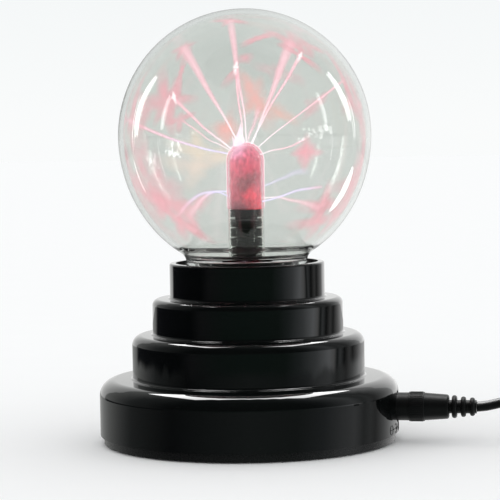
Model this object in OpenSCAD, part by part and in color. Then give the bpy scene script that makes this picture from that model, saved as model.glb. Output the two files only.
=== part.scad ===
// Plasma ball: a glass globe with a central electrode on a stepped black base, with its
// driver electronics inside and a low-voltage lead plugged into the side.
// Millimetres. +Z is up, the origin is the middle of the base on the surface that it stands
// on, and +X runs out through the power socket.

/* [Globe] */
// Outside diameter of the glass globe
globe_d = 80; // [78:0.5:81]
// Height of the globe's centre above the surface
globe_z = 97; // [96:0.1:99]
// Thickness of the globe's glass
glass_t = 1.4; // [1.2:0.1:1.6]
// Depth of the globe's longer lower half, from its centre to where it would close
globe_depth = 43.1; // [42.5:0.1:43.5]
// Outside radius of the straight neck under the globe
neck_r = 19.2; // [18.8:0.1:19.6]

/* [Electrode] */
// Outside radius of the re-entrant electrode tube
tube_r = 5.7; // [5.6:0.1:6]
// Height of the top of the electrode's dome
tube_top_z = 94.7; // [92:0.1:97]
// Height at which the steel wool starts above the ribbed spacer
wool_z = 73.8; // [72:0.1:76]

/* [Stepped base] */
// Radii of the four steps, from the bottom step up
step_r = [47.5, 36.9, 30.3, 24.65];
// Heights of the tops of the four steps, from the bottom step up
step_z = [20.5, 34.4, 45.8, 57];
// Radii of the rounded shoulders, from the bottom step up
shoulder_r = [5, 3, 2, 0.6];
// Thickness of the moulded walls
wall = 2; // [1.8:0.1:2.2]

/* [Power lead] */
// Height of the power socket's axis
socket_z = 11.1; // [10.9:0.1:11.4]
// Diameter of the cord
cord_d = 3.2; // [3:0.1:3.2]
// Outside radius of the plug's overmoulded body
plug_r = 4.4; // [4.2:0.1:4.5]

/* [Hidden] */

$fn = 96;
gap = 0.15;                  // clearance between pieces that only sit near each other

black_gloss = "#101213";
black_matt = "#1c1d1e";
steel = "#c4c6c8";
glass_tint = [0.86, 0.9, 0.88, 0.35];

// Base
rim_t = 2.05;                // wall of the top collar
foot_z = 3;                  // underside of the shell's wall
cove_r = 0.8;                // hollow fillet where a wall rises from a step
seat_z = 48.9;               // top of the ledge that carries the globe
seat_t = 2;
seat_hole_r = 13.5;
boss_pcd_r = 38;
boss_r = 3.2;
boss_hole_r = 1.45;
boss_count = 4;

// Plate under the base
plate_z = 0.4;
plate_t = 2;
plate_r = 46.3;
plate_top = plate_z + plate_t;
lip_z = 6;
lip_r = step_r[0] - wall - 0.1;
lip_t = 1.5;
counterbore_z = 1.4;         // top of the pockets for screw heads and feet
foot_pad_r = 4.5;
foot_pad_pcd_r = 33;

// Circuit board
board_t = 1.6;
board_top = 6.4;
board_r = 43;
board_half_w = 21.5;
board_back_x = -34;
post_xy = [[-29, 16], [-29, -16], [24, -16]];

// Switch
switch_a = 22;               // angle of the slide switch round the wall
knob_z = 9.2;

// Transformer
coil_x = -13;
core_h = 20;

// Globe and electrode
globe_r = globe_d / 2;
turn_a = 58.5;               // where the lower half ends and the throat starts
turn_slope = atan2(globe_r * sin(turn_a), globe_depth * cos(turn_a));
throat_r = (globe_r * cos(turn_a) - neck_r) / (1 - cos(turn_slope));
globe_foot_z = seat_z + 1.3;
tube_t = 0.6;
floor_z = 58.8;              // glass floor round the electrode's foot
stem_foot_z = 51.2;          // underside of the electrode's spacer
tip_x = 10.2;                // sealed tip of the tube that the globe was filled through
lead_hole_r = 1.3;

// Plug and cord
plug_x = 45.2;               // the face of the plug's overmoulding, against the socket
plug_end_x = 63.6;
cord_x = 72.2;               // where the cord leaves the plug's ribbed boot
barrel_len = 9.5;
cord_r = cord_d / 2;

// Coil of spare cord, on the surface that the base stands on
coil_c = [118, 24];
coil_in_r = 11.5;
coil_out_r = 25.6;
coil_h = 2 * cord_d;
lead_in = [[72.2, 0, 11.1], [75, 0, 11.4], [77, 0, 11.8], [80, 0, 12.5], [84, 0, 13.2],
           [88, 0, 13.1], [92, 0, 12], [96, 0, 9.9], [100, 0, 7.2], [104, 0, 4.7],
           [108, 0, 2.8], [112, 0, 1.8], [118, 0, 1.6]];
lead_out = [[94, 24, 4.8], [94, 18.5, 4.5], [94, 13, 3.3], [94, 7.5, 2], [94, 2, 1.6],
            [94.6, -3, 1.6], [96.5, -7.4, 1.6], [99.8, -10.9, 1.7], [104, -13, 2.2],
            [108, -13.7, 3], [112, -13.8, 3.6], [116, -13.8, 3.75]];
usb_at = [116, -13.8, 3.75]; // where the cord enters the far plug's boot
usb_boot = 9;
usb_body = 22;
usb_nose = 12.5;             // metal shell past the overmoulding

// ---------- helpers ----------

// Points round an arc in a plane, from angle a0 to a1
function arc(c, r, a0, a1, n = 8) =
    [for (i = [0:n]) let (a = a0 + (a1 - a0) * i / n) [c[0] + r * cos(a), c[1] + r * sin(a)]];

// Outline of the globe's glass, t inside its outer surface, from the top to the neck: a
// sphere, then the longer lower half, then a throat that turns down into the neck
function globe_wall(t) =
    let (away = [cos(turn_slope), -sin(turn_slope)])
    let (turn = [globe_r * cos(turn_a), globe_z - globe_depth * sin(turn_a)])
    concat(
        arc([0, globe_z], globe_r - t, 90, 0, 30),
        [for (i = [1:24])
            let (a = turn_a * i / 24)
            let (out = unit([globe_depth * cos(a), -globe_r * sin(a)]))
            [globe_r * cos(a), globe_z - globe_depth * sin(a)] - t * out],
        arc(turn + throat_r * away, throat_r + t, 180 - turn_slope * 0.9, 180, 8));

function unit(v) = v / norm(v);
function reversed(list) = [for (i = [len(list) - 1:-1:0]) list[i]];

// Tube swept along points, as one closed polyhedron
function heading(p, i) = unit(p[min(i + 1, len(p) - 1)] - p[max(i - 1, 0)]);
function side_of(h, across) = unit(cross(h, across));
function ring(c, h, across, r, n) =
    let (u = side_of(h, across))
    let (w = cross(h, u))
    [for (k = [0:n - 1]) c + r * cos(360 * k / n) * u + r * sin(360 * k / n) * w];

module sweep_tube(path, r, across, sides = 8) {
    last = len(path) - 1;
    rings = [for (i = [0:last]) each ring(path[i], heading(path, i), across, r, sides)];
    walls = [for (i = [0:last - 1]) for (k = [0:sides - 1])
        let (a = i * sides + k, b = i * sides + (k + 1) % sides)
        each [[a, b, b + sides], [a, b + sides, a + sides]]];
    cap_a = [for (k = [sides - 1:-1:0]) k];
    cap_b = [for (k = [0:sides - 1]) last * sides + k];
    polyhedron(rings, concat(walls, [cap_a, cap_b]));
}

// Smooth points through a route, for a tube (Catmull-Rom)
function between(p, i, t) =
    let (a = p[max(i - 1, 0)], b = p[i], c = p[i + 1], d = p[min(i + 2, len(p) - 1)])
    0.5 * (2 * b + (c - a) * t + (2 * a - 5 * b + 4 * c - d) * t * t
        + (3 * b - a - 3 * c + d) * t * t * t);
function smooth(p, steps) =
    concat([for (i = [0:len(p) - 2]) for (s = [0:steps - 1]) between(p, i, s / steps)],
        [p[len(p) - 1]]);

module block(x, y, z) {
    translate([x[0], y[0], z[0]]) cube([x[1] - x[0], y[1] - y[0], z[1] - z[0]]);
}

module along_x(x0, x1, r) {
    translate([x0, 0, 0]) rotate([0, 90, 0]) cylinder(r = r, h = x1 - x0);
}

module round_block(x, y, z, r) {
    translate([0, 0, z[0]]) linear_extrude(z[1] - z[0]) {
        translate([x[0] + r, y[0]]) square([x[1] - x[0] - 2 * r, y[1] - y[0]]);
        translate([x[0], y[0] + r]) square([x[1] - x[0], y[1] - y[0] - 2 * r]);
        for (cx = [x[0] + r, x[1] - r]) for (cy = [y[0] + r, y[1] - r])
            translate([cx, cy]) circle(r = r, $fn = 32);
    }
}

module ring_of(count, r, first = 45) {
    for (i = [0:count - 1]) rotate([0, 0, first + i * 360 / count]) translate([r, 0, 0]) children();
}

// ---------- stepped base ----------

// Outer outline of the steps, from the foot of the wall up to the collar's rim
function step_outline() = concat(
    [[step_r[0], foot_z]],
    [for (i = [0:3]) each concat(
        i == 0 ? [] : arc([step_r[i] + cove_r, step_z[i - 1] + cove_r], cove_r, 270, 180, 4),
        arc([step_r[i] - shoulder_r[i], step_z[i] - shoulder_r[i]], shoulder_r[i], 0, 90, 8))]);

// Hollow inside the lower three steps and the collar, up to the ledge under the globe
function hollow_outline() = concat(
    [[0, foot_z - 1], [step_r[0] - wall, foot_z - 1]],
    [for (i = [0:2]) each concat(
        i == 0 ? [] : [[step_r[i] - wall, step_z[i - 1] - wall]],
        shoulder_r[i] > wall
            ? arc([step_r[i] - shoulder_r[i], step_z[i] - shoulder_r[i]],
                shoulder_r[i] - wall, 0, 90, 6)
            : [[step_r[i] - wall, step_z[i] - wall]])],
    [[step_r[3] - rim_t, step_z[2] - wall], [step_r[3] - rim_t, seat_z - seat_t],
     [0, seat_z - seat_t]]);

module base_shell() {
    boss_top = step_z[0] - wall + 0.5;
    socket_hole_r = 5;
    outside = step_r[0];
    pocket_depth = 0.75;
    color(black_gloss) difference() {
        union() {
            difference() {
                rotate_extrude() polygon(concat([[0, foot_z]], step_outline(), [[0, step_z[3]]]));
                rotate_extrude() polygon(hollow_outline());
                translate([0, 0, seat_z]) cylinder(r = step_r[3] - rim_t, h = 20);
                translate([0, 0, seat_z - seat_t - 1]) cylinder(r = seat_hole_r, h = seat_t + 2);
            }
            ring_of(boss_count, boss_pcd_r) translate([0, 0, plate_top])
                cylinder(r = boss_r, h = boss_top - plate_top, $fn = 48);
        }
        ring_of(boss_count, boss_pcd_r) cylinder(r = boss_hole_r, h = 14, $fn = 32);
        // hole for the power plug
        translate([0, 0, socket_z]) along_x(outside - wall - 2, outside + 3, socket_hole_r);
        // slot for the switch's knob, in a shallow pocket
        rotate([0, 0, switch_a]) {
            block([outside - wall - 2, outside + 3], [-4.4, 4.4], [knob_z - 1.75, knob_z + 1.75]);
            block([outside - pocket_depth, outside + 3], [-6.5, 6.5], [knob_z - 3, knob_z + 3]);
        }
    }
}

module base_plate() {
    vents = 5;
    vent_pitch = 5;
    color(black_matt) difference() {
        union() {
            translate([0, 0, plate_z]) cylinder(r = plate_r, h = plate_t);
            difference() {
                union() {
                    translate([0, 0, plate_z]) cylinder(r = plate_r, h = foot_z - plate_z);
                    translate([0, 0, plate_z]) cylinder(r = lip_r, h = lip_z - plate_z);
                }
                translate([0, 0, plate_top]) cylinder(r = lip_r - lip_t, h = 20);
            }
            for (p = post_xy) translate([p[0], p[1], plate_z])
                cylinder(r = 3, h = board_top - board_t - plate_z, $fn = 48);
        }
        ring_of(boss_count, boss_pcd_r) {
            cylinder(r = 1.7, h = 6, $fn = 32);
            cylinder(r = 3.1, h = counterbore_z, $fn = 48);
        }
        ring_of(4, foot_pad_pcd_r, 0) cylinder(r = foot_pad_r + gap, h = counterbore_z, $fn = 48);
        for (p = post_xy) translate([p[0], p[1], counterbore_z]) cylinder(r = 1.05, h = 6, $fn = 24);
        for (i = [0:vents - 1]) let (x = (i - (vents - 1) / 2) * vent_pitch)
            block([x - 0.9, x + 0.9], [-9, 9], [0, 6]);
    }
}

module plate_screws() {
    head_z = 0.6;
    color(steel) ring_of(boss_count, boss_pcd_r) difference() {
        union() {
            translate([0, 0, head_z]) cylinder(r = 2.8, h = counterbore_z - head_z, $fn = 48);
            translate([0, 0, head_z]) cylinder(r = 1.4, h = 10, $fn = 32);
            translate([0, 0, head_z + 10]) cylinder(r1 = 1.4, r2 = 0.3, h = 1.6, $fn = 32);
        }
        for (a = [0, 90]) rotate([0, 0, a]) block([-1.5, 1.5], [-0.3, 0.3], [0, head_z + 0.5]);
    }
}

module rubber_feet() {
    color("#2b2b2c") ring_of(4, foot_pad_pcd_r, 0)
        cylinder(r = foot_pad_r, h = counterbore_z, $fn = 48);
}

// ---------- globe and electrode ----------

module glass_globe() {
    color(glass_tint) rotate_extrude() polygon(concat(
        globe_wall(0), [[neck_r, globe_foot_z], [neck_r - glass_t, globe_foot_z]],
        reversed(globe_wall(glass_t))));
}

// Outline of the re-entrant stem, t inside the glass: dome, tube, foot, floor and skirt
function stem_line(t) =
    let (skirt_r = neck_r - glass_t, foot_r = 2.5, edge_r = 1.6)
    concat(
        arc([0, tube_top_z - tube_r], tube_r - t, 90, 0, 12),
        arc([tube_r + foot_r, floor_z + foot_r], foot_r + t, 180, 270, 7),
        arc([skirt_r - edge_r, floor_z - edge_r], edge_r - t, 90, 0, 6),
        [[skirt_r - t, globe_foot_z]]);

module glass_stem() {
    tip_r = 1.3;
    color(glass_tint) union() {
        rotate_extrude() polygon(concat(stem_line(0), reversed(stem_line(tube_t))));
        translate([tip_x, 0, stem_foot_z]) cylinder(r = tip_r, h = floor_z - 0.5 - stem_foot_z, $fn = 32);
        translate([tip_x, 0, stem_foot_z]) sphere(r = tip_r, $fn = 32);
    }
}

bead_z = 52.6;

module globe_gasket() {
    gasket_in_r = neck_r - glass_t - 1.5;
    gasket_out_r = 21.4;
    color("#3a3a3c") rotate_extrude() polygon([
        [gasket_in_r, seat_z], [gasket_out_r, seat_z], [gasket_out_r, bead_z], [neck_r + 0.05, bead_z],
        [neck_r + 0.05, globe_foot_z], [gasket_in_r, globe_foot_z]]);
}

module adhesive_bead() {
    rim_r = step_r[3] - rim_t - 0.1;
    color("#a9a8a2") rotate_extrude() polygon([
        [neck_r + 0.05, bead_z], [rim_r, bead_z], [rim_r, 55.6], [rim_r - 0.6, 55.1],
        [neck_r + 1, 55.2], [neck_r + 0.05, 56.1]]);
}

module steel_wool() {
    wool_r = tube_r - tube_t - gap;
    color("#c03a4c") union() {
        translate([0, 0, wool_z]) cylinder(r = wool_r, h = tube_top_z - tube_r - wool_z);
        translate([0, 0, tube_top_z - tube_r]) sphere(r = wool_r);
    }
}

module electrode_spacer() {
    rib_pitch = 3.05;
    rib_t = 2.35;
    top = wool_z - 0.1;
    ribs = floor((top - stem_foot_z) / rib_pitch);
    color("#26282a") difference() {
        union() {
            translate([0, 0, stem_foot_z]) cylinder(r = 3.5, h = top - stem_foot_z);
            for (i = [0:ribs - 1]) translate([0, 0, top - rib_t - i * rib_pitch])
                cylinder(r = tube_r - tube_t - gap, h = rib_t);
        }
        translate([0, 0, stem_foot_z - 1]) cylinder(r = lead_hole_r, h = 40, $fn = 32);
    }
}

module stem_insulator() {
    flange_z = 45.4;
    color("#202122") difference() {
        union() {
            translate([0, 0, flange_z]) cylinder(r = 15, h = seat_z - seat_t - 0.1 - flange_z);
            translate([0, 0, flange_z]) cylinder(r = seat_hole_r - gap, h = stem_foot_z - flange_z);
        }
        translate([0, 0, flange_z - 1]) cylinder(r = lead_hole_r, h = 20, $fn = 32);
        translate([tip_x, 0, stem_foot_z - 1.9]) cylinder(r = 2, h = 3, $fn = 32);
    }
}

module hv_lead() {
    route = [[coil_x, 8, 23.1], [-12.9, 7.9, 26], [-12, 7.2, 29.5], [-9.4, 5.5, 33], [-6, 3.4, 36],
             [-3, 1.6, 39], [-0.9, 0.4, 42], [0, 0, 45], [0, 0, 48], [0, 0, 60], [0, 0, wool_z - 0.2]];
    color("#b5302c") sweep_tube(smooth(route, 2), lead_hole_r - 0.2, [1, 0, 0]);
}

// ---------- circuit board and what it carries ----------

pin_holes = [[36, -2.5], [36, 2.5], [32.4, 0]];
function on_switch(r, s) = [r * cos(switch_a) - s * sin(switch_a), r * sin(switch_a) + s * cos(switch_a)];
switch_pins = [for (s = [-4.5, -1.5, 1.5, 4.5]) on_switch(37, s)];

module circuit_board() {
    color("#b98b4a") difference() {
        translate([0, 0, board_top - board_t]) linear_extrude(board_t) intersection() {
            circle(r = board_r);
            translate([board_back_x, -board_half_w]) square([90, 2 * board_half_w]);
        }
        for (p = concat(pin_holes, switch_pins)) translate([p[0], p[1], 0]) cylinder(r = 0.7, h = 9, $fn = 16);
        for (p = post_xy) translate([p[0], p[1], 0]) cylinder(r = 1.4, h = 9, $fn = 24);
    }
}

module board_screws() {
    color(steel) for (p = post_xy) translate([p[0], p[1], 0]) difference() {
        union() {
            translate([0, 0, board_top]) cylinder(r = 2.3, h = 1.5, $fn = 32);
            translate([0, 0, 1.8]) cylinder(r = 1, h = board_top - 1.8 + 0.5, $fn = 24);
        }
        for (a = [0, 90]) rotate([0, 0, a]) block([-1.3, 1.3], [-0.25, 0.25], [board_top + 0.8, board_top + 2]);
    }
}

// Two E-shaped ferrite halves, one standing on the other
module transformer_core() {
    window = [board_top + 3.3, board_top + core_h - 3.3];
    color("#3d3f42") translate([coil_x, 0, board_top]) for (half = [0, 1]) difference() {
        block([-11, 11], [-4.5, 4.5], [half * core_h / 2, (half + 1) * core_h / 2]);
        for (s = [-1, 1]) translate([s * 5.5, 0, -board_top]) block([-3, 3], [-5, 5], window);
    }
}

module transformer_bobbin() {
    z = [board_top + 3.4, board_top + core_h - 3.4];
    color("#e8e4d8") translate([coil_x, 0, 0]) difference() {
        union() {
            round_block([-8.3, 8.3], [-11, 11], [z[0], z[0] + 1], 2);
            round_block([-8.3, 8.3], [-11, 11], [z[1] - 1, z[1]], 2);
            block([-3.6, 3.6], [-5.7, 5.7], z);
        }
        block([-2.6, 2.6], [-4.6, 4.6], [0, 40]);
    }
}

module transformer_winding() {
    z = [board_top + 4.45, board_top + core_h - 4.45];
    color("#d9b43c") translate([coil_x, 0, 0]) difference() {
        round_block([-7.8, 7.8], [-10.4, 10.4], z, 3);
        block([-3.65, 3.65], [-5.75, 5.75], [0, 40]);
    }
}

sink_y = -14;
module heatsink() {
    fins = 5;
    color("#b9bcc0") difference() {
        union() {
            block([2, 20], [sink_y - 1, sink_y + 0.6], [board_top, 26]);
            for (i = [0:fins - 1]) let (x = 2 + i * 4.1)
                block([x, x + 1.4], [sink_y - 5, sink_y], [board_top, 26]);
        }
        translate([11, sink_y - 10, 21.5]) rotate([-90, 0, 0]) {
            cylinder(r = 1.6, h = 20, $fn = 32);
            cylinder(r = 3.2, h = 9, $fn = 32);    // room for the nut between the fins
        }
    }
}

module power_transistor() {
    color("#222426") difference() {
        union() {
            block([6, 16], [sink_y + 0.6, sink_y + 1.9], [9.5, 24.5]);
            block([6, 16], [sink_y + 0.6, sink_y + 5], [9.5, 18.5]);
            for (x = [8.46, 11, 13.54]) block([x - 0.4, x + 0.4], [sink_y + 2.2, sink_y + 2.8], [board_top, 9.6]);
        }
        translate([11, sink_y, 21.5]) rotate([-90, 0, 0]) cylinder(r = 1.6, h = 10, $fn = 32);
    }
}

module heatsink_screw() {
    color(steel) translate([11, 0, 21.5]) rotate([-90, 0, 0]) {
        translate([0, 0, sink_y - 3]) cylinder(r = 1.45, h = 5, $fn = 32);
        translate([0, 0, sink_y + 1.9]) cylinder(r = 2.8, h = 1.8, $fn = 32);
        translate([0, 0, sink_y - 3.1]) cylinder(r = 2.7, h = 2, $fn = 6);
    }
}

module smoothing_capacitor() {
    color("#1f2f57") translate([12, 13, board_top]) union() {
        cylinder(r = 4.8, h = 1);
        translate([0, 0, 1]) cylinder(r = 5, h = 11);
        translate([0, 0, 12]) cylinder(r1 = 5, r2 = 4.5, h = 0.5);
    }
}

module resistors() {
    places = [[24, -8], [24, -4.5], [-29, 3], [-29, 6.5], [-1, 16]];
    color("#c8b48a") for (p = places) translate([p[0], p[1], board_top]) {
        translate([-3.1, 0, 1.15]) rotate([0, 90, 0]) cylinder(r = 1.1, h = 6.2, $fn = 32);
        for (s = [-1, 1]) translate([s * 3.6 - 0.25, -0.25, 0]) cube([0.5, 0.5, 1.4]);
        for (s = [-1, 1]) translate([s * 3.35 - 0.5, -0.25, 0.9]) cube([1, 0.5, 0.5]);
    }
}

module film_capacitors() {
    places = [[24, 4], [-29, -4], [-4, -16]];
    color("#8c2f24") for (p = places) translate([p[0], p[1], 0])
        round_block([-3.6, 3.6], [-1.5, 1.5], [board_top, board_top + 6.5], 1);
}

module control_chip() {
    color("#191a1b") translate([5, 1, 0]) union() {
        block([-4.7, 4.7], [-3.2, 3.2], [board_top + 0.6, board_top + 3.8]);
        for (x = [-3.81, -1.27, 1.27, 3.81]) for (s = [-1, 1])
            block([x - 0.4, x + 0.4], [s * 3.6 - 0.45, s * 3.6 + 0.45], [board_top, board_top + 2]);
    }
}

module microphone() {
    color("#a7a9ab") translate([-27, -9.5, board_top]) union() {
        cylinder(r = 3, h = 4.6, $fn = 48);
        translate([0, 0, 0.6]) cylinder(r = 3.1, h = 0.8, $fn = 48);
    }
}

// ---------- power socket ----------

jack_top = 16.4;
module jack_body() {
    bore_r = 3.1;
    color("#17181a") difference() {
        union() {
            block([31, 44.6], [-4.5, 4.5], [board_top, jack_top - 0.2]);
            block([41.4, 44.6], [-4.7, 4.7], [board_top, jack_top]);
        }
        translate([0, 0, socket_z]) along_x(34.9, 50, bore_r);
        translate([0, 0, socket_z]) along_x(30, 36, 1.05);
        block([32.9, 42], [-1.3, 1.3], [7.1, 9]);
    }
}

module jack_pin() {
    color("#d9c27a") translate([0, 0, socket_z]) union() {
        along_x(30.6, 43, 1);
        translate([43, 0, 0]) sphere(r = 1, $fn = 32);
    }
}

pin_foot_z = 3.7;
module jack_contacts() {
    color("#d0d2d4") union() {
        block([33, 41.8], [-1, 1], [7.4, 7.7]);
        for (p = pin_holes) translate([p[0], p[1], pin_foot_z])
            cylinder(r = 0.5, h = board_top - pin_foot_z, $fn = 16);
    }
}

// ---------- slide switch ----------

module switch_case() {
    color("#c9cbcd") rotate([0, 0, switch_a]) difference() {
        block([35.4, 42.2], [-6.5, 6.5], [board_top, 12]);
        block([38.4, 44], [-4.6, 4.6], [knob_z - 2.1, knob_z + 1.8]);
    }
}

module switch_terminals() {
    color("#d0d2d4") for (p = switch_pins) translate([p[0], p[1], pin_foot_z])
        cylinder(r = 0.5, h = board_top - pin_foot_z, $fn = 16);
}

module switch_knob() {
    tip_x = step_r[0] + 0.4;
    color("#202224") rotate([0, 0, switch_a]) difference() {
        union() {
            block([38.7, 41.9], [-2.3, 2.3], [knob_z - 1.4, knob_z + 1.4]);
            block([41.9, tip_x], [-2, 2], [knob_z - 1.4, knob_z + 1.4]);
        }
        for (s = [-1.2, 0, 1.2]) translate([tip_x, s, 0]) rotate([0, 0, 45])
            block([-0.3, 0.3], [-0.3, 0.3], [6, 12]);
    }
}

module switch_wiper() {
    color("#d9b45e") rotate([0, 0, switch_a])
        block([38.9, 41.6], [-2, 2], [knob_z - 1.8, knob_z - 1.45]);
}

// ---------- power lead ----------

module plug_overmould() {
    taper_x = plug_x + 9;
    end_r = 3.8;
    core_r = 2.1;
    grip = [51, 56];
    ribs = [[64.5, 3.6], [67.3, 3.2], [70.1, 2.9]];
    rib_t = 1.6;
    color("#151617") translate([0, 0, socket_z]) difference() {
        union() {
            along_x(plug_x, taper_x, plug_r);
            translate([taper_x, 0, 0]) rotate([0, 90, 0])
                cylinder(r1 = plug_r, r2 = end_r, h = plug_end_x - taper_x);
            along_x(grip[0], grip[1], plug_r + 0.35);
            along_x(plug_end_x - 0.5, cord_x, core_r);
            for (rib = ribs) along_x(rib[0], rib[0] + rib_t, rib[1]);
        }
        // recess for the barrel's root
        along_x(plug_x - 1, plug_x + 3, 2.8);
    }
}

module plug_barrel() {
    color(steel) translate([0, 0, socket_z]) difference() {
        along_x(plug_x - barrel_len, plug_x + 3, 2.75);
        along_x(plug_x - barrel_len - 1, plug_x + 2.4, 2.35);
    }
}

module plug_insulator() {
    color("#e7dfc0") translate([0, 0, socket_z]) difference() {
        along_x(plug_x - barrel_len + 0.1, plug_x + 2.3, 2.3);
        along_x(plug_x - barrel_len - 1, plug_x + 1.5, 1.65);
    }
}

module plug_contact() {
    color("#d9b45e") translate([0, 0, socket_z]) difference() {
        along_x(plug_x - barrel_len + 0.6, plug_x + 1.4, 1.6);
        along_x(plug_x - barrel_len - 1, plug_x + 0.6, 1.2);
    }
}

module power_cord() {
    color("#151617") sweep_tube(smooth(lead_in, 2), cord_r, [0, 1, 0]);
}

module cord_tail() {
    color("#151617") sweep_tube(smooth(lead_out, 2), cord_r, [0, 0, 1]);
}

tie_a = 40;
tie_w = 5;
tie_t = 0.5;

module cord_coil() {
    color("#151617") difference() {
        translate([coil_c[0], coil_c[1], 0]) rotate_extrude()
            translate([coil_in_r, 0]) square([coil_out_r - coil_in_r, coil_h]);
        translate([coil_c[0], coil_c[1], 0]) rotate([0, 0, tie_a])
            block([coil_in_r - 1, coil_out_r + 1], [-tie_w / 2, tie_w / 2], [-1, tie_t]);
    }
}

module cord_tie() {
    color("#2a2c2e") translate([coil_c[0], coil_c[1], 0]) rotate([0, 0, tie_a]) difference() {
        block([coil_in_r - 0.7, coil_out_r + 0.7], [-tie_w / 2 + 0.05, tie_w / 2 - 0.05], [0, coil_h + 0.6]);
        block([coil_in_r - 0.25, coil_out_r + 0.05], [-tie_w, tie_w], [tie_t - 0.02, coil_h + 0.02]);
    }
}

// The far plug lies flat. Its metal shell is a folded tube with a contact tongue inside.
usb_w = 12;
usb_h = 4.5;
module usb_overmould() {
    x0 = usb_at[0];
    color("#151617") translate([0, usb_at[1], usb_at[2]]) difference() {
        union() {
            hull() {
                translate([x0, 0, 0]) rotate([0, 90, 0]) cylinder(r = 2.2, h = 0.5, $fn = 32);
                translate([x0 + usb_boot, 0, 0]) rotate([0, 90, 0]) cylinder(r = 3.2, h = 0.5, $fn = 32);
            }
            hull() for (y = [-1, 1]) for (z = [-1, 1])
                translate([x0 + usb_boot, y * 5.9, z * 1.8]) rotate([0, 90, 0]) cylinder(r = 1.9, h = usb_body, $fn = 32);
        }
        translate([x0 + usb_boot + usb_body - 5, 0, 0]) block([0, 8], [-usb_w / 2, usb_w / 2], [-usb_h / 2, usb_h / 2]);
    }
}

module usb_shell() {
    x0 = usb_at[0] + usb_boot + usb_body - 5;
    x1 = x0 + 5 + usb_nose;
    t = 0.35;
    color(steel) translate([0, usb_at[1], usb_at[2]]) difference() {
        block([x0, x1], [-usb_w / 2, usb_w / 2], [-usb_h / 2, usb_h / 2]);
        block([x0 + 0.5, x1 + 1], [-usb_w / 2 + t, usb_w / 2 - t], [-usb_h / 2 + t, usb_h / 2 - t]);
        for (y = [-2.9, 2.9]) block([x1 - 7.6, x1 - 5.1], [y - 1.25, y + 1.25], [-3, 3]);
    }
}

module usb_tongue() {
    x0 = usb_at[0] + usb_boot + usb_body - 5;
    color("#e9e9e6") translate([0, usb_at[1], usb_at[2]]) union() {
        block([x0 + 0.6, x0 + 4.6], [-5.6, 5.6], [-1.85, 1.85]);
        block([x0 + 4.6, x0 + 5 + usb_nose - 0.8], [-5.5, 5.5], [-1.85, -0.1]);
    }
}

module usb_contacts() {
    x1 = usb_at[0] + usb_boot + usb_body + usb_nose;
    color("#d9b45e") translate([0, usb_at[1], usb_at[2]]) for (y = [-3.5, -1, 1, 3.5])
        block([x1 - 9, x1 - (abs(y) > 2 ? 1.6 : 2.6)], [y - 0.5, y + 0.5], [-0.08, 0.1]);
}

base_shell();
base_plate();
plate_screws();
rubber_feet();
glass_globe();
glass_stem();
globe_gasket();
adhesive_bead();
steel_wool();
electrode_spacer();
hv_lead();
stem_insulator();
circuit_board();
board_screws();
transformer_core();
transformer_bobbin();
transformer_winding();
power_transistor();
heatsink();
heatsink_screw();
smoothing_capacitor();
resistors();
film_capacitors();
control_chip();
microphone();
jack_body();
jack_pin();
jack_contacts();
switch_case();
switch_terminals();
switch_knob();
switch_wiper();
plug_overmould();
plug_barrel();
plug_insulator();
plug_contact();
power_cord();
cord_coil();
cord_tail();
cord_tie();
usb_overmould();
usb_shell();
usb_tongue();
usb_contacts();
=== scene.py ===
import math
import random
from collections import namedtuple

import bmesh
import bpy
from mathutils import Matrix, Vector, noise


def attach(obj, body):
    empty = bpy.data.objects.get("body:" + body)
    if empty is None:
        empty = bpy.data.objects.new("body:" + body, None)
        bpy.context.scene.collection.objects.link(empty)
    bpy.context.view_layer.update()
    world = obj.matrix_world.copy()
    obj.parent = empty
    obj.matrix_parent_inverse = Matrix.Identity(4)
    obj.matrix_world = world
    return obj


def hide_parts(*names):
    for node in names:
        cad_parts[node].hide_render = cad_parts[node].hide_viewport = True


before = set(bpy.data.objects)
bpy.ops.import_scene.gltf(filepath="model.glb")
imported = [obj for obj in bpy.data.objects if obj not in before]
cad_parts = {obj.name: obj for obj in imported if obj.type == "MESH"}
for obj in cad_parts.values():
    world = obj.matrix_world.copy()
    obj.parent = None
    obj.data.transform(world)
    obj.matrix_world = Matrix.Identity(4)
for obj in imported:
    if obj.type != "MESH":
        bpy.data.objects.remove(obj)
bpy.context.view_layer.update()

mm = 0.001
scene = bpy.context.scene

cameraSetup = {
    "turn": 10,  # degrees round from the front, towards the socket
    "distance": 634,
    "height": 99,
    "aimHeight": 60.7,
    "aimSide": 1.05,
    "roll": 0.98,
    "lens": 144,
    "sensor": 36,
    "nearest": 0.01,
}
turn = math.radians(cameraSetup["turn"])
sideways = Vector((math.cos(turn), math.sin(turn), 0))
away = Vector((-math.sin(turn), math.cos(turn), 0))


def makeCamera():
    spot = -away * cameraSetup["distance"] + Vector((0, 0, cameraSetup["height"]))
    aim = sideways * cameraSetup["aimSide"] + Vector((0, 0, cameraSetup["aimHeight"]))
    back = (spot - aim).normalized()
    right = Vector((0, 0, 1)).cross(back).normalized()
    up = back.cross(right)
    roll = math.radians(cameraSetup["roll"])
    rolledRight = right * math.cos(roll) - up * math.sin(roll)
    rolledUp = right * math.sin(roll) + up * math.cos(roll)
    pose = Matrix((rolledRight, rolledUp, back)).transposed().to_4x4()
    pose.translation = spot * mm
    data = bpy.data.cameras.new("camera")
    data.lens = cameraSetup["lens"]
    data.sensor_width = cameraSetup["sensor"]
    data.clip_start = cameraSetup["nearest"]
    camera = bpy.data.objects.new("camera", data)
    camera.matrix_world = pose
    scene.collection.objects.link(camera)
    scene.camera = camera


makeCamera()


def addPiece(name, points, faces, smooth=True):
    mesh = bpy.data.meshes.new(name)
    mesh.from_pydata([tuple(p) for p in points], [], faces)
    mesh.update()
    if smooth:
        mesh.shade_smooth()
    else:
        mesh.shade_flat()
    piece = bpy.data.objects.new(name, mesh)
    scene.collection.objects.link(piece)
    return piece


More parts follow.
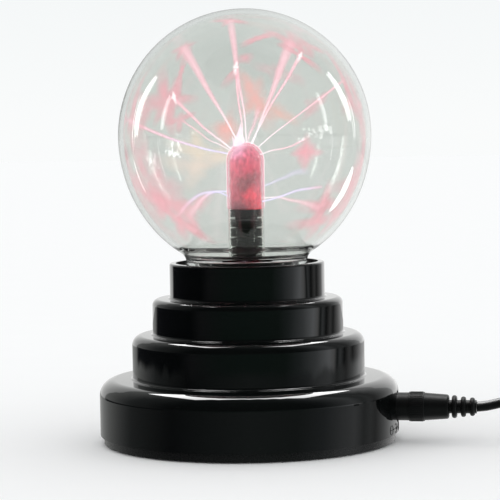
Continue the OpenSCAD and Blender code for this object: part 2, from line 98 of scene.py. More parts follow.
def catmullRom(points, steps):
    ends = [points[0]] + list(points) + [points[-1]]
    found = []
    for i in range(1, len(ends) - 2):
        a, b, c, d = (Vector(p) for p in ends[i - 1 : i + 3])
        for k in range(steps):
            t = k / steps
            found.append(
                0.5 * (2 * b + (c - a) * t + (2 * a - 5 * b + 4 * c - d) * t * t
                       + (3 * b - a - 3 * c + d) * t * t * t)
            )
    return found + [Vector(points[-1])]


def framesAlong(path):
    # each point with its heading and a side vector that doesn't twist
    headings = []
    for i in range(len(path)):
        step = path[min(i + 1, len(path) - 1)] - path[max(i - 1, 0)]
        headings.append(step.normalized())
    side = headings[0].orthogonal().normalized()
    found = []
    for point, heading in zip(path, headings):
        side = (side - heading * side.dot(heading)).normalized()
        found.append((point, heading, side, heading.cross(side)))
    return found


def tubePoints(path, radii, sides, points, faces, notes=None, given=()):
    # adds a closed tube to points and faces, and its notes to each new point
    first = len(points)
    for i, (centre, _, side, other) in enumerate(framesAlong(path)):
        for k in range(sides):
            angle = 2 * math.pi * k / sides
            points.append(centre + radii[i] * (math.cos(angle) * side + math.sin(angle) * other))
            if notes is not None:
                notes.append(given[i])
    for i in range(len(path) - 1):
        for k in range(sides):
            a = first + i * sides + k
            b = first + i * sides + (k + 1) % sides
            faces.append((a, b, b + sides, a + sides))
    last = first + (len(path) - 1) * sides
    faces.append(tuple(first + k for k in reversed(range(sides))))
    faces.append(tuple(last + k for k in range(sides)))


def lathe(name, outlines, turns):
    # closed outlines of (radius, height), outside on the left hand of each outline's way
    points, faces = [], []
    for outline in outlines:
        rings = []
        for radius, height in outline:
            if radius < 1e-6:
                rings.append([len(points)])
                points.append(Vector((0, 0, height)) * mm)
                continue
            rings.append([len(points) + k for k in range(turns)])
            for k in range(turns):
                angle = 2 * math.pi * k / turns
                across = (radius * math.cos(angle), radius * math.sin(angle))
                points.append(Vector((*across, height)) * mm)
        pairs = list(zip(rings, rings[1:]))
        if len(rings[0]) > 1 or len(rings[-1]) > 1:
            pairs.append((rings[-1], rings[0]))
        for low, high in pairs:
            for k in range(turns):
                n = (k + 1) % turns
                face = [low[k % len(low)], low[n % len(low)], high[n % len(high)], high[k % len(high)]]
                kept = tuple(dict.fromkeys(face))
                if len(kept) > 2:
                    faces.append(kept)
    return addPiece(name, points, faces)


def arcPoints(centre, radius, start, end, steps):
    found = []
    for i in range(steps + 1):
        angle = math.radians(start + (end - start) * i / steps)
        found.append((centre[0] + radius * math.cos(angle), centre[1] + radius * math.sin(angle)))
    return found


def settle(piece):
    # the evaluated shape becomes the piece's own plain mesh
    bpy.context.view_layer.update()
    done = bpy.data.meshes.new_from_object(piece.evaluated_get(bpy.context.evaluated_depsgraph_get()))
    piece.modifiers.clear()
    piece.data = done
    return piece


def smoothed(piece, sharpAngle=32):
    # merges loose triangles, keeps real edges crisp and lets the large faces lead the shading
    shape = bmesh.new()
    shape.from_mesh(piece.data)
    bmesh.ops.remove_doubles(shape, verts=shape.verts, dist=0.002 * mm)
    for edge in shape.edges:
        edge.smooth = edge.calc_face_angle(0) < math.radians(sharpAngle)
    for face in shape.faces:
        face.smooth = True
    shape.to_mesh(piece.data)
    shape.free()
    weigh = piece.modifiers.new("weigh", "WEIGHTED_NORMAL")
    weigh.mode = "FACE_AREA"
    weigh.weight = 100
    weigh.keep_sharp = True
    return settle(piece)


def refined(name, node, body="root"):
    # a smooth-shaded copy of a CAD node, standing for it
    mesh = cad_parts[node].data.copy()
    if "custom_normal" in mesh.attributes:
        mesh.attributes.remove(mesh.attributes["custom_normal"])
    piece = bpy.data.objects.new(name, mesh)
    scene.collection.objects.link(piece)
    smoothed(piece)
    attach(piece, body)
    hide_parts(node)
    return piece


def dress(piece, material):
    piece.data.materials.clear()
    piece.data.materials.append(material)
    return piece


class Sum:  # a shader socket that can be added, subtracted and multiplied
    def __init__(self, paint, socket):
        self.paint = paint
        self.socket = socket

    def sum(self, operation, first, second):
        return self.paint.node("ShaderNodeMath", {"operation": operation}, {0: first, 1: second})

    def __add__(self, other):
        return self.sum("ADD", self, other)

    def __radd__(self, other):
        return self.sum("ADD", other, self)

    def __sub__(self, other):
        return self.sum("SUBTRACT", self, other)

    def __rsub__(self, other):
        return self.sum("SUBTRACT", other, self)

    def __mul__(self, other):
        return self.sum("MULTIPLY", self, other)

    def __rmul__(self, other):
        return self.sum("MULTIPLY", other, self)


class Paint:  # one material, or the world, built from nodes
    def __init__(self, name, owner=None):
        self.material = owner or bpy.data.materials.new(name)
        self.material.use_nodes = True
        self.tree = self.material.node_tree
        self.tree.nodes.clear()

    def feed(self, socket, value):
        if isinstance(value, Sum):
            self.tree.links.new(value.socket, socket)
        elif hasattr(socket.default_value, "__len__") and len(value) < len(socket.default_value):
            socket.default_value = (*value, 1)
        else:
            socket.default_value = value

    def node(self, kind, settings=None, values=None, output=0):
        made = self.tree.nodes.new(kind)
        for name, value in (settings or {}).items():
            if name == "stops":
                for spare in list(made.color_ramp.elements)[1:]:
                    made.color_ramp.elements.remove(spare)
                made.color_ramp.elements[0].position = value[0][0]
                made.color_ramp.elements[0].color = (*value[0][1], 1)
                for place, colour in value[1:]:
                    made.color_ramp.elements.new(place).color = (*colour, 1)
            else:
                setattr(made, name, value)
        for name, value in (values or {}).items():
            self.feed(made.inputs[name], value)
        return Sum(self, made.outputs[output])

    def where(self):
        return self.node("ShaderNodeTexCoord", output="Object")

    def noise(self, scale, detail=2, rough=0.5, place=None):
        values = {"Vector": place or self.where(), "Scale": scale, "Detail": detail, "Roughness": rough}
        return self.node("ShaderNodeTexNoise", {}, values)

    def stretch(self, sizes):
        return self.node("ShaderNodeMapping", {}, {"Vector": self.where(), "Scale": sizes})

    def ramp(self, factor, stops):
        return self.node("ShaderNodeValToRGB", {"stops": stops}, {"Fac": factor})

    def fade(self, factor, low, high, fromLow=0.0, fromHigh=1.0):
        values = {"Value": factor, "From Min": fromLow, "From Max": fromHigh, "To Min": low, "To Max": high}
        return self.node("ShaderNodeMapRange", {}, values)

    def mixed(self, factor, first, second):
        made = self.tree.nodes.new("ShaderNodeMix")
        made.data_type = "RGBA"
        for index, value in ((0, factor), (6, first), (7, second)):
            self.feed(made.inputs[index], value)
        return Sum(self, made.outputs[2])

    def scaled(self, colour, factor):
        return self.node("ShaderNodeVectorMath", {"operation": "SCALE"}, {0: colour, "Scale": factor})

    def bump(self, height, strength, distance):
        values = {"Height": height, "Strength": strength, "Distance": distance}
        return self.node("ShaderNodeBump", {}, values)

    def finish(self, values):
        shader = self.node("ShaderNodeBsdfPrincipled", {}, values)
        end = self.tree.nodes.new("ShaderNodeOutputMaterial")
        self.tree.links.new(shader.socket, end.inputs["Surface"])
        return self.material


def glossBlack():
    paint = Paint("gloss black moulding")
    waves = paint.noise(55, 2)
    grit = paint.noise(2600, 2)
    dust = paint.fade(paint.noise(1400, 3, 0.7), 0, 1, 0.68, 0.8)
    wipe = paint.fade(paint.noise(140, 4, 0.6, paint.stretch((1, 1, 0.25))), 0, 1, 0.35, 0.75)
    return paint.finish({
        "Base Color": paint.mixed(dust, (0.0018, 0.0022, 0.0022), (0.02, 0.02, 0.02)),
        "Roughness": 0.012 + wipe * 0.03 + dust * 0.2,
        "IOR": 1.5,
        "Normal": paint.bump(waves + grit * 0.02, 0.02, 0.0006),
    })


def mattBlack():
    paint = Paint("textured black plate")
    grain = paint.noise(1800, 3, 0.7)
    return paint.finish({
        "Base Color": paint.mixed(grain, (0.003, 0.003, 0.0035), (0.009, 0.009, 0.009)),
        "Roughness": paint.fade(grain, 0.2, 0.34),
        "Normal": paint.bump(grain, 0.3, 0.0002),
    })


def plastic(name, colour, roughness, grainScale=1500, depth=0.0001, spread=0.25, shine=0.5):
    paint = Paint(name)
    grain = paint.noise(grainScale, 3, 0.6)
    cloud = paint.noise(120, 2)
    dark = tuple(c * (1 - spread) for c in colour)
    light = tuple(min(1, c * (1 + spread)) for c in colour)
    return paint.finish({
        "Base Color": paint.mixed(cloud * 0.6 + grain * 0.4, dark, light),
        "Roughness": paint.fade(grain, roughness - 0.06, roughness + 0.08),
        "Specular IOR Level": shine,
        "Normal": paint.bump(grain, 0.25, depth),
    })


def metal(name, colour, roughness, brushed=(1, 1, 12)):
    paint = Paint(name)
    lines = paint.noise(900, 4, 0.6, paint.stretch(brushed))
    return paint.finish({
        "Base Color": paint.mixed(lines, tuple(c * 0.85 for c in colour), colour),
        "Metallic": 1.0,
        "Roughness": paint.fade(lines, roughness - 0.05, roughness + 0.1),
        "Normal": paint.bump(lines, 0.12, 0.00005),
    })


def blownGlass():
    paint = Paint("blown glass")
    sag = paint.noise(26, 1)
    return paint.finish({
        "Base Color": (0.83, 0.85, 0.825),
        "Roughness": 0.0,
        "IOR": 1.46,
        "Transmission Weight": 1.0,
        "Normal": paint.bump(sag, 0.05, 0.001),
    })


def plasma(name, patchy=False):
    # light gas: its colour and how solid it looks come from the piece's own points
    paint = Paint(name)
    tint = paint.node("ShaderNodeAttribute", {"attribute_name": "tint"}, {}, "Color")
    veil = paint.node("ShaderNodeAttribute", {"attribute_name": "veil"}, {}, "Fac")
    if patchy:
        wisps = paint.fade(paint.noise(150, 3, 0.6), 0.35, 1.45, 0.3, 0.7)
        veil = veil * wisps
    return paint.finish({
        "Base Color": (0, 0, 0),
        "Roughness": 1.0,
        "Specular IOR Level": 0.0,
        "Emission Color": tint,
        "Emission Strength": 1.0,
        "Alpha": veil,
    })

leadSetup = {
    "diameter": 3.2,
    "toCoil": [(72.2, 0, 11.1), (75, 0, 11.4), (77, 0, 11.8), (80, 0, 12.5), (84, 0, 13.2),
               (88, 0, 13.1), (92, 0, 12), (96, 0, 9.9), (100, 0, 7.2), (104, 0, 4.7),
               (108, 0, 2.8), (112, 0, 1.8), (118, 0, 1.6)],
    "fromCoil": [(94, 24, 4.8), (94, 18.5, 4.5), (94, 13, 3.3), (94, 7.5, 2), (94, 2, 1.6),
                 (94.6, -3, 1.6), (96.5, -7.4, 1.6), (99.8, -10.9, 1.7), (104, -13, 2.2),
                 (108, -13.7, 3), (112, -13.8, 3.6), (116, -13.8, 3.75)],
    "coilCentre": (118, 24),
    "outerTurn": 24,
    "turnsIn": 3,
    "turnsUp": 0.75,
    "turnsOut": 3,
    "stepsPerTurn": 40,
    "sides": 14,
    "length": 0.88,
}


def coilPoints():
    # inwards on the surface, up at the middle, and outwards on top of the first layer
    s = leadSetup
    pitch = s["diameter"]
    total = s["turnsIn"] + s["turnsUp"] + s["turnsOut"]
    steps = round(total * s["stepsPerTurn"])
    found = []
    for i in range(1, steps):
        turnsDone = total * i / steps
        angle = math.radians(-90 + 360 * turnsDone)
        inner = s["outerTurn"] - pitch * s["turnsIn"]
        climb = min(max((turnsDone - s["turnsIn"]) / s["turnsUp"], 0), 1)
        if turnsDone <= s["turnsIn"]:
            radius = s["outerTurn"] - pitch * turnsDone
        elif climb < 1:
            radius = inner - pitch * s["turnsUp"] * (0.5 - abs(climb - 0.5))
        else:
            radius = inner + pitch * (turnsDone - s["turnsIn"] - s["turnsUp"])
        height = pitch / 2 + pitch * climb
        found.append((s["coilCentre"][0] + radius * math.cos(angle),
                      s["coilCentre"][1] + radius * math.sin(angle), height))
    return found


def cordSkin():
    paint = Paint("black cord sheath")
    pulled = paint.noise(1600, 3, 0.6)
    smear = paint.noise(170, 3)
    return paint.finish({
        "Base Color": paint.mixed(smear, (0.001, 0.001, 0.0012), (0.0035, 0.0035, 0.0038)),
        "Roughness": paint.fade(pulled, 0.3, 0.5),
        "Normal": paint.bump(pulled, 0.2, 0.00005),
    })


def supplyLead():
    s = leadSetup
    route = catmullRom(s["toCoil"], 4)[:-1] + [Vector(s["toCoil"][-1])]
    route += [Vector(p) for p in coilPoints()] + catmullRom(s["fromCoil"], 4)
    route = [p * mm for p in route]
    points, faces = [], []
    tubePoints(route, [s["diameter"] / 2 * mm] * len(route), s["sides"], points, faces)
    lead = addPiece("supply_lead", points, faces)
    dress(lead, cordSkin())
    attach(lead, "supply_lead")
    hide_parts("power_cord", "cord_coil", "cord_tail")
    return lead, route


lead, leadRoute = supplyLead()
print("lead laid")

plugSetup = {
    "height": 11.1,
    "face": 45.2,
    "bodyEnd": 63.6,
    "grip": (51, 56),
    "radius": 4.4,
    "endRadius": 3.8,
    "coreRadius": 2.1,
    "ribs": [(64.5, 3.6), (67.3, 3.2), (70.1, 2.9)],
    "ribWidth": 1.6,
    "end": 72.2,
    "bore": 2.8,
    "boreDepth": 3,
    "band": 0.22,  # how far the grip stands proud
    "taper": 0.06,
    "gripRibs": 46,
    "ribInset": (0.35, 0.6),  # where a grip rib starts and where it is full
    "ribProud": (0.12, 0.16),
    "ribThickness": (0.07, 0.14),
    "turns": 72,
}


def softStep(x, radius, nextRadius, rounding=0.35, steps=4):
    # points of a rounded shoulder that falls or rises at x
    found = []
    r = min(rounding, abs(radius - nextRadius))
    falling = radius > nextRadius
    for i in range(steps + 1):
        angle = math.pi / 2 * i / steps
        if falling:
            found.append((x - r + r * math.sin(angle), radius - r + r * math.cos(angle)))
        else:
            found.append((x + r - r * math.cos(angle), nextRadius - r + r * math.sin(angle)))
    if falling:
        return found + [(x, nextRadius)]
    return [(x, radius)] + found


def plugOutline():
    s = plugSetup
    face, radius, core = s["face"], s["radius"], s["coreRadius"]
    start, end = s["grip"]
    line = [(face + s["boreDepth"], 0), (face + s["boreDepth"], s["bore"]), (face, s["bore"])]
    line += softStep(face, s["bore"], radius)[1:]
    line += [(start - 0.5, radius)]
    line += softStep(start, radius, radius + s["band"], s["band"])
    line += softStep(end, radius + s["band"], radius - s["taper"], s["band"])
    line += [(s["bodyEnd"] - 0.9, s["endRadius"] + 0.05)]
    line += softStep(s["bodyEnd"], s["endRadius"], core, 0.6)
    for rib, ribRadius in s["ribs"]:
        line += softStep(rib, core, ribRadius, 0.7)
        line += softStep(rib + s["ribWidth"], ribRadius, core, 0.7)
    return line + [(s["end"], core), (s["end"], 0)]


def turnToX(piece, height):
    # a shape turned round Z becomes one along +X at that height
    turned = Matrix(((0, 0, 1, 0), (0, 1, 0, 0), (-1, 0, 0, height * mm), (0, 0, 0, 1)))
    piece.data.transform(turned)
    return piece


def growTree(name, inputs, steps):
    # a geometry tree: each step names a node and gives its type, its settings and what feeds its
    # sockets, a value or "node output"; the last step's geometry is the result
    tree = bpy.data.node_groups.new(name, "GeometryNodeTree")
    for label, kind in inputs.items():
        tree.interface.new_socket(label, in_out="INPUT", socket_type="NodeSocket" + kind)
    tree.interface.new_socket("Geometry", in_out="OUTPUT", socket_type="NodeSocketGeometry")
    made = {"given": tree.nodes.new("NodeGroupInput")}
    for label, kind, settings, feeds in steps:
        node = made[label] = tree.nodes.new(kind)
        for setting, value in settings.items():
            setattr(node, setting, value)
        for socket, sources in feeds:
            if isinstance(sources, str):
                source, output = sources.split()
                output = int(output) if output.isdigit() else output
                tree.links.new(made[source].outputs[output], node.inputs[socket])
            else:
                node.inputs[socket].default_value = sources
    out = tree.nodes.new("NodeGroupOutput")
    tree.links.new(node.outputs["Geometry"], out.inputs["Geometry"])
    return tree


def ringTree():
    # copies of a shape, evenly round the upright axis
    inputs = {"Shape": "Object", "Count": "Int", "Finish": "Material"}
    return growTree("ring of copies", inputs, [
        ("shape", "GeometryNodeObjectInfo", {}, [("Object", "given Shape")]),
        ("line", "GeometryNodeMeshLine", {}, [("Offset", (0, 0, 0)), ("Count", "given Count")]),
        ("index", "GeometryNodeInputIndex", {}, []),
        ("part", "ShaderNodeMath", {"operation": "DIVIDE"}, [(0, "index Index"), (1, "given Count")]),
        ("angle", "ShaderNodeMath", {"operation": "MULTIPLY"}, [(0, "part Value"), (1, 2 * math.pi)]),
        ("turned", "ShaderNodeCombineXYZ", {}, [("Z", "angle Value")]),
        ("place", "GeometryNodeInstanceOnPoints", {}, [
            ("Points", "line Mesh"), ("Instance", "shape Geometry"), ("Rotation", "turned Vector")]),
        ("real", "GeometryNodeRealizeInstances", {}, [("Geometry", "place Instances")]),
        ("finish", "GeometryNodeSetMaterial", {}, [
            ("Geometry", "real Geometry"), ("Material", "given Finish")]),
    ])


ringOfCopies = ringTree()


def runTree(piece, tree, values):
    # sets a tree's named inputs on a piece and keeps what it makes
    modifier = piece.modifiers.new("grow", "NODES")
    modifier.node_group = tree
    inputs = [item for item in tree.interface.items_tree if item.in_out == "INPUT"]
    names = {item.name: item.identifier for item in inputs}
    for label, value in values.items():
        modifier[names[label]] = value
    return settle(piece)


def ringOf(name, shape, count, finish):
    values = {"Shape": shape, "Count": count, "Finish": finish}
    made = runTree(addPiece(name, [], []), ringOfCopies, values)
    bpy.data.objects.remove(shape)
    return made


def powerPlug():
    s = plugSetup
    finish = cordSkin()
    finish.name = "plug moulding"
    body = lathe("plug_body", [[(r, x) for x, r in plugOutline()]], s["turns"])
    turnToX(body, s["height"])
    smoothed(body, 50)
    dress(body, finish)
    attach(body, "supply_lead")
    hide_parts("plug_overmould")
    points, faces = [], []
    (first, full), (low, high), (thin, thick) = s["ribInset"], s["ribProud"], s["ribThickness"]
    start, end = s["grip"]
    rib = [Vector((s["radius"] + proud, 0, place)) for proud, place in (
        (low, start + first), (high, start + full), (high, end - full), (low, end - first))]
    radii = [r * mm for r in (thin, thick, thick, thin)]
    tubePoints([p * mm for p in rib], radii, 8, points, faces)
    ribs = ringOf("plug_grip_ribs", addPiece("rib", points, faces), s["gripRibs"], finish)
    turnToX(ribs, s["height"])
    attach(ribs, "supply_lead")
    return body, ribs


plugBody, plugRibs = powerPlug()


def farPlug():
    pieces = []
    for node, name, slot in (("usb_overmould", "far_plug_body", "lead_pvc"),
                             ("cord_tie", "coil_tie", "tie_plastic")):
        piece = refined(name, node, "supply_lead")
        dress(piece, plastic(name.replace("_", " "), (0.014, 0.014, 0.015), 0.42))
        pieces.append(piece)
    return pieces


farBody, coilTie = farPlug()
for hiddenFromGloss in (lead, farBody, coilTie):
    hiddenFromGloss.visible_glossy = False
leadPieces = [plugBody, plugRibs, farBody, coilTie, "plug_barrel", "plug_insulator", "plug_contact",
              "usb_shell", "usb_tongue", "usb_contacts"]
leadPieces = [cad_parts[p] if isinstance(p, str) else p for p in leadPieces]
print("plugs made")

glassSetup = {
    "radius": 40,
    "centre": 97,
    "depth": 43.1,
    "wall": 1.4,
    "neck": 19.2,
    "throatStart": 58.5,
    "foot": 50.2,
    "tubeRadius": 5.7,
    "tubeTop": 94.7,
    "tubeWall": 0.6,
    "floor": 58.8,
    "footRound": 2.5,
    "edgeRound": 1.6,
    "throatEase": 0.93,  # how much of the slope's turn the throat takes up
    "seal": [(14.3, 58.8), (15.9, 59.0), (17.1, 59.4), (18.2, 60.0), (19.0, 60.75), (19.7, 61.6)],
    "turns": 160,
}
throatShadeSetup = {
    "hole": 7.6, "radius": 16.4, "bottom": 55.5, "top": 58.1,
    "discHole": 7.9, "disc": 13.2, "discLow": 58.83, "discTop": 58.93, "turns": 96,
}


def globeLine(t):
    # from the top down to the neck, t inside the outer surface
    s = glassSetup
    start = math.radians(s["throatStart"])
    slope = math.atan2(s["radius"] * math.sin(start), s["depth"] * math.cos(start))
    turnR = s["radius"] * math.cos(start)
    turnZ = s["centre"] - s["depth"] * math.sin(start)
    throat = (turnR - s["neck"]) / (1 - math.cos(slope))
    line = arcPoints((0, s["centre"]), s["radius"] - t, 90, 0, 45)
    steps = 36
    for i in range(1, steps + 1):
        a = math.radians(s["throatStart"] * i / steps)
        out = Vector((s["depth"] * math.cos(a), -s["radius"] * math.sin(a))).normalized()
        r, z = s["radius"] * math.cos(a), s["centre"] - s["depth"] * math.sin(a)
        line.append((r - t * out.x, z - t * out.y))
    middle = (turnR + throat * math.cos(slope), turnZ - throat * math.sin(slope))
    return line + arcPoints(middle, throat + t, 180 - math.degrees(slope) * s["throatEase"], 180, 14)


def stemLine(t):
    # dome, tube, foot, floor and skirt, t inside the gas side
    s = glassSetup
    r = s["tubeRadius"]
    skirt = s["neck"] - s["wall"]
    foot, edge = s["footRound"], s["edgeRound"]
    line = arcPoints((0, s["tubeTop"] - r), r - t, 90, 0, 16)
    line += arcPoints((r + foot, s["floor"] + foot), foot + t, 180, 270, 10)
    return line + arcPoints((skirt - edge, s["floor"] - edge), edge - t, 90, 0, 8)


def blownGlobe():
    # one body of glass: its outer skin and the inside of the stem, then the wall of the gas space
    s = glassSetup
    skirt = s["neck"] - s["wall"]
    skin = globeLine(0) + [(s["neck"], s["foot"]), (skirt - s["tubeWall"], s["foot"])]
    skin += list(reversed(stemLine(s["tubeWall"])))
    seal = s["seal"]
    stemPart = [p for p in stemLine(0) if p[0] < seal[0][0] - 0.3]
    wallPart = [p for p in reversed(globeLine(s["wall"])) if p[1] > seal[-1][1] + 0.5]
    gas = stemPart + seal + wallPart
    for line in (skin, gas):  # both close on the axis
        line[0] = (0, line[0][1])
        line[-1] = (0, line[-1][1])
    globe = lathe("blown_globe", [list(reversed(skin)), list(reversed(gas))], s["turns"])
    dress(globe, blownGlass())
    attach(globe, "root")
    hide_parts("glass_globe", "glass_stem")
    return globe


def throatShadeLining():
    # painted shade: a dull dark lining under the floor of the globe, and a thin disc of it round the foot
    # of the tube, standing in for the shade in the throat
    s = throatShadeSetup
    outlines = []
    for hole, radius, low, high in ((s["hole"], s["radius"], s["bottom"], s["top"]),
                                    (s["discHole"], s["disc"], s["discLow"], s["discTop"])):
        outlines.append([(hole, low), (hole, high), (radius, high), (radius, low)])
    piece = lathe("throat_lining", outlines, s["turns"])
    dress(piece, plastic("dull throat shade lining", (0.018, 0.019, 0.021), 0.45))
    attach(piece, "root")


blown = blownGlobe()
throatShadeLining()
print("glass blown")


def steppedBase():
    shell = refined("stepped_shell", "base_shell")
    dress(shell, glossBlack())
    plate = refined("bottom_plate", "base_plate")
    dress(plate, mattBlack())


steppedBase()

markSetup = {
    "height": 4.9,
    "turn": -5.5,  # degrees from the socket towards the front
    "size": 1.45,
    "line": 0.16,
    "proud": 0.05,
    "spread": 6.3,  # degrees between neighbours
    "wallRadius": 47.5,
    "gap": 0.2,  # between a ring and the line to the next
}


def onWall(across, up, proud):
    # a point on the lower wall: across and up in mm from the mark's middle
    s = markSetup
    angle = across / s["wallRadius"] + math.radians(s["turn"])
    r = s["wallRadius"] + proud
    return Vector((r * math.cos(angle), r * math.sin(angle), s["height"] + up)) * mm


def polarityMark():
    # generic polarity symbols under the socket: minus in a ring, a tip in an open ring, plus in a ring
    s = markSetup
    strokes = []
    gapBetween = math.radians(s["spread"]) * s["wallRadius"]
    for place, kind in ((-1, "minus"), (0, "tip"), (1, "plus")):
        middle = place * gapBetween
        start, end = (0, 360) if kind != "tip" else (-135, 135)
        strokes.append(arcPoints((middle, 0), s["size"], start, end, 40))
        bar = s["size"] * 0.5
        if kind == "tip":
            strokes.append(arcPoints((middle, 0), s["size"] * 0.2, 0, 360, 12))
        else:
            strokes.append([(middle - bar + bar * i / 3, 0) for i in range(7)])
        if kind == "plus":
            strokes.append([(middle, -bar + bar * i / 3) for i in range(7)])
        if place < 1:
            begin = middle + s["size"] + s["gap"]
            reach = gapBetween - 2 * s["size"] - 2 * s["gap"]
            strokes.append([(begin + reach * i / 6, 0) for i in range(7)])
    points, faces = [], []
    for stroke in strokes:
        path = [onWall(across, up, s["proud"] - s["line"] * 0.6) for across, up in stroke]
        tubePoints(path, [s["line"] * mm] * len(path), 6, points, faces)
    mark = addPiece("polarity_mark", points, faces)
    dress(mark, plastic("dull mark", (0.012, 0.012, 0.012), 0.5))
    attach(mark, "root")


polarityMark()
print("base made")

cadFinish = {
    "plate_screws": metal("zinc screws", (0.62, 0.62, 0.6), 0.3),
    "rubber_feet": plastic("foot rubber", (0.03, 0.03, 0.03), 0.75),
    "globe_gasket": plastic("grey silicone", (0.05, 0.05, 0.052), 0.5),
    "electrode_spacer": plastic("ribbed spacer", (0.029, 0.032, 0.031), 0.7, 900, shine=0.15),
    "hv_lead": plastic("red silicone", (0.45, 0.04, 0.03), 0.45),
    "stem_insulator": plastic("bush moulding", (0.02, 0.02, 0.022), 0.45),
    "circuit_board": plastic("board laminate", (0.42, 0.26, 0.09), 0.5, 700),
    "transformer_core": plastic("ferrite", (0.05, 0.052, 0.056), 0.55, 2500),
    "transformer_bobbin": plastic("bobbin nylon", (0.75, 0.72, 0.62), 0.4),
    "transformer_winding": plastic("winding tape", (0.7, 0.45, 0.06), 0.3, 400),
    "power_transistor": plastic("transistor epoxy", (0.02, 0.02, 0.022), 0.55),
    "heatsink": metal("sink aluminium", (0.7, 0.71, 0.72), 0.35),
    "smoothing_capacitor": plastic("blue sleeve", (0.02, 0.04, 0.16), 0.25),
    "resistors": plastic("resistor lacquer", (0.6, 0.45, 0.25), 0.35),
    "film_capacitors": plastic("red dip", (0.35, 0.04, 0.025), 0.25),
    "microphone": metal("microphone can", (0.66, 0.67, 0.68), 0.3),
    "jack_body": plastic("socket moulding", (0.015, 0.015, 0.017), 0.45),
    "jack_pin": metal("socket pin", (0.8, 0.72, 0.5), 0.22),
    "switch_case": metal("switch case", (0.66, 0.67, 0.68), 0.3),
    "switch_knob": plastic("switch knob", (0.02, 0.02, 0.022), 0.4),
    "plug_barrel": metal("nickel barrel", (0.76, 0.75, 0.72), 0.18, (12, 1, 1)),
    "usb_shell": metal("plug shell", (0.74, 0.74, 0.73), 0.2, (12, 1, 1)),
    "usb_tongue": plastic("tongue nylon", (0.78, 0.78, 0.75), 0.4),
    "usb_contacts": metal("gilt contacts", (0.85, 0.66, 0.25), 0.2),
}
sameFinish = {
    "board_screws": "plate_screws", "heatsink_screw": "plate_screws", "control_chip": "power_transistor",
    "jack_contacts": "switch_case", "switch_terminals": "switch_case", "switch_wiper": "usb_contacts",
    "plug_insulator": "transformer_bobbin", "plug_contact": "usb_contacts",
}


def finishCadNodes():
    for node, material in cadFinish.items():
        dress(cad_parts[node], material)
    for node, other in sameFinish.items():
        dress(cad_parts[node], cadFinish[other])


def clearGlue():
    bead = refined("clear_glue_bead", "adhesive_bead")
    paint = Paint("clear glue")
    lumps = paint.noise(260, 3)
    dress(bead, paint.finish({
        "Base Color": paint.mixed(lumps, (0.5, 0.5, 0.47), (0.75, 0.75, 0.72)),
        "Roughness": paint.fade(lumps, 0.1, 0.3),
        "Transmission Weight": 0.6,
        "IOR": 1.42,
        "Normal": paint.bump(lumps, 0.6, 0.0005),
    }))


finishCadNodes()
clearGlue()
print("inner parts finished")

electrodeSetup = {
    "domeCentre": 89,
    "domeRadius": 5.7,
    "gasInset": 0.25,
    "arcSteps": 34,
    "arcSides": 10,
    "haloLayers": (0.16, 0.28, 0.4, 0.52, 0.64, 0.76, 0.88, 1.0),
    "haloSolid": 0.078,
    "haloFlare": 1.7,  # how late a halo widens
    "coreRadius": 0.13,
    "coreThinning": 0.05,
    "coreSolid": 0.85,
    "startReach": 0.12,
    "endReach": 0.33,
    "sway": 1.1,
    "swayTurns": 3.2,
    "violetPart": 0.12,
}
filmSetup = {"rings": 12, "sides": 64, "thickness": 0.22, "reach": 1.3, "lobeWidth": 21, "ragged": 0.3}

pink = Vector((1.46, 0.8, 0.92))
palePink = Vector((1.14, 0.56, 0.63))
hotWhite = Vector((1.6, 1.4, 1.5))
violet = Vector((1.05, 0.98, 1.45))
knotTint = (1.7, 1.5, 1.55)

Arc = namedtuple("Arc", "base start end width bow glow violet", defaults=(None,))

# base and start: azimuth and elevation on the dome, or azimuth and height in mm on the tube's side
# end: azimuth and elevation on the glass. width: mm near the electrode and near the glass
# bow: mm upwards. violet: the part of the way that stays violet
arcs = [Arc(*row) for row in (
    ("dome", (-95, 72), (-84, 32), (0.4, 0.75), -0.5, 1.2),
    ("dome", (70, 80), (130, 78), (0.35, 2.1), 0, 1.0),
    ("dome", (185, 70), (153, 50), (0.4, 2.7), 0, 1.0),
    ("dome", (-165, 42), (-115, 18), (0.5, 0.9), -1.4, 1.0),
    ("dome", (-150, 35), (-110, 8), (0.25, 0.5), -1.2, 0.6),
    ("dome", (-168, 24), (-166, 9), (0.6, 1.1), -2.2, 0.8, 0.3),
    ("dome", (-25, 66), (-46, 38), (0.4, 0.85), 0, 1.2),
    ("dome", (20, 66), (57, 53), (0.4, 3.0), 0, 1.0),
    ("dome", (5, 45), (27, 27), (0.3, 0.7), 0.4, 0.9),
    ("dome", (-20, 20), (-52, -2), (0.35, 0.6), -0.6, 0.7),
    ("side", (-160, 78), (-122, -38), (0.6, 1.3), 6, 0.5, 0.6),
    ("side", (165, 79), (140, -42), (0.5, 2.2), 4, 0.6, 0.3),
    ("side", (-15, 76.2), (-40, -24), (0.6, 0.9), 1.5, 0.6, 0.7),
    ("side", (15, 81), (66, -19), (0.9, 2.0), 2, 0.25, 1.0),
    ("side", (25, 77), (47, -39), (0.6, 1.8), 2, 0.5),
    ("dome", (100, 30), (92, 14), (0.5, 1.6), 0, 0.5),
)]

Patch = namedtuple("Patch", "centre core solid lobes tint", defaults=(palePink,))

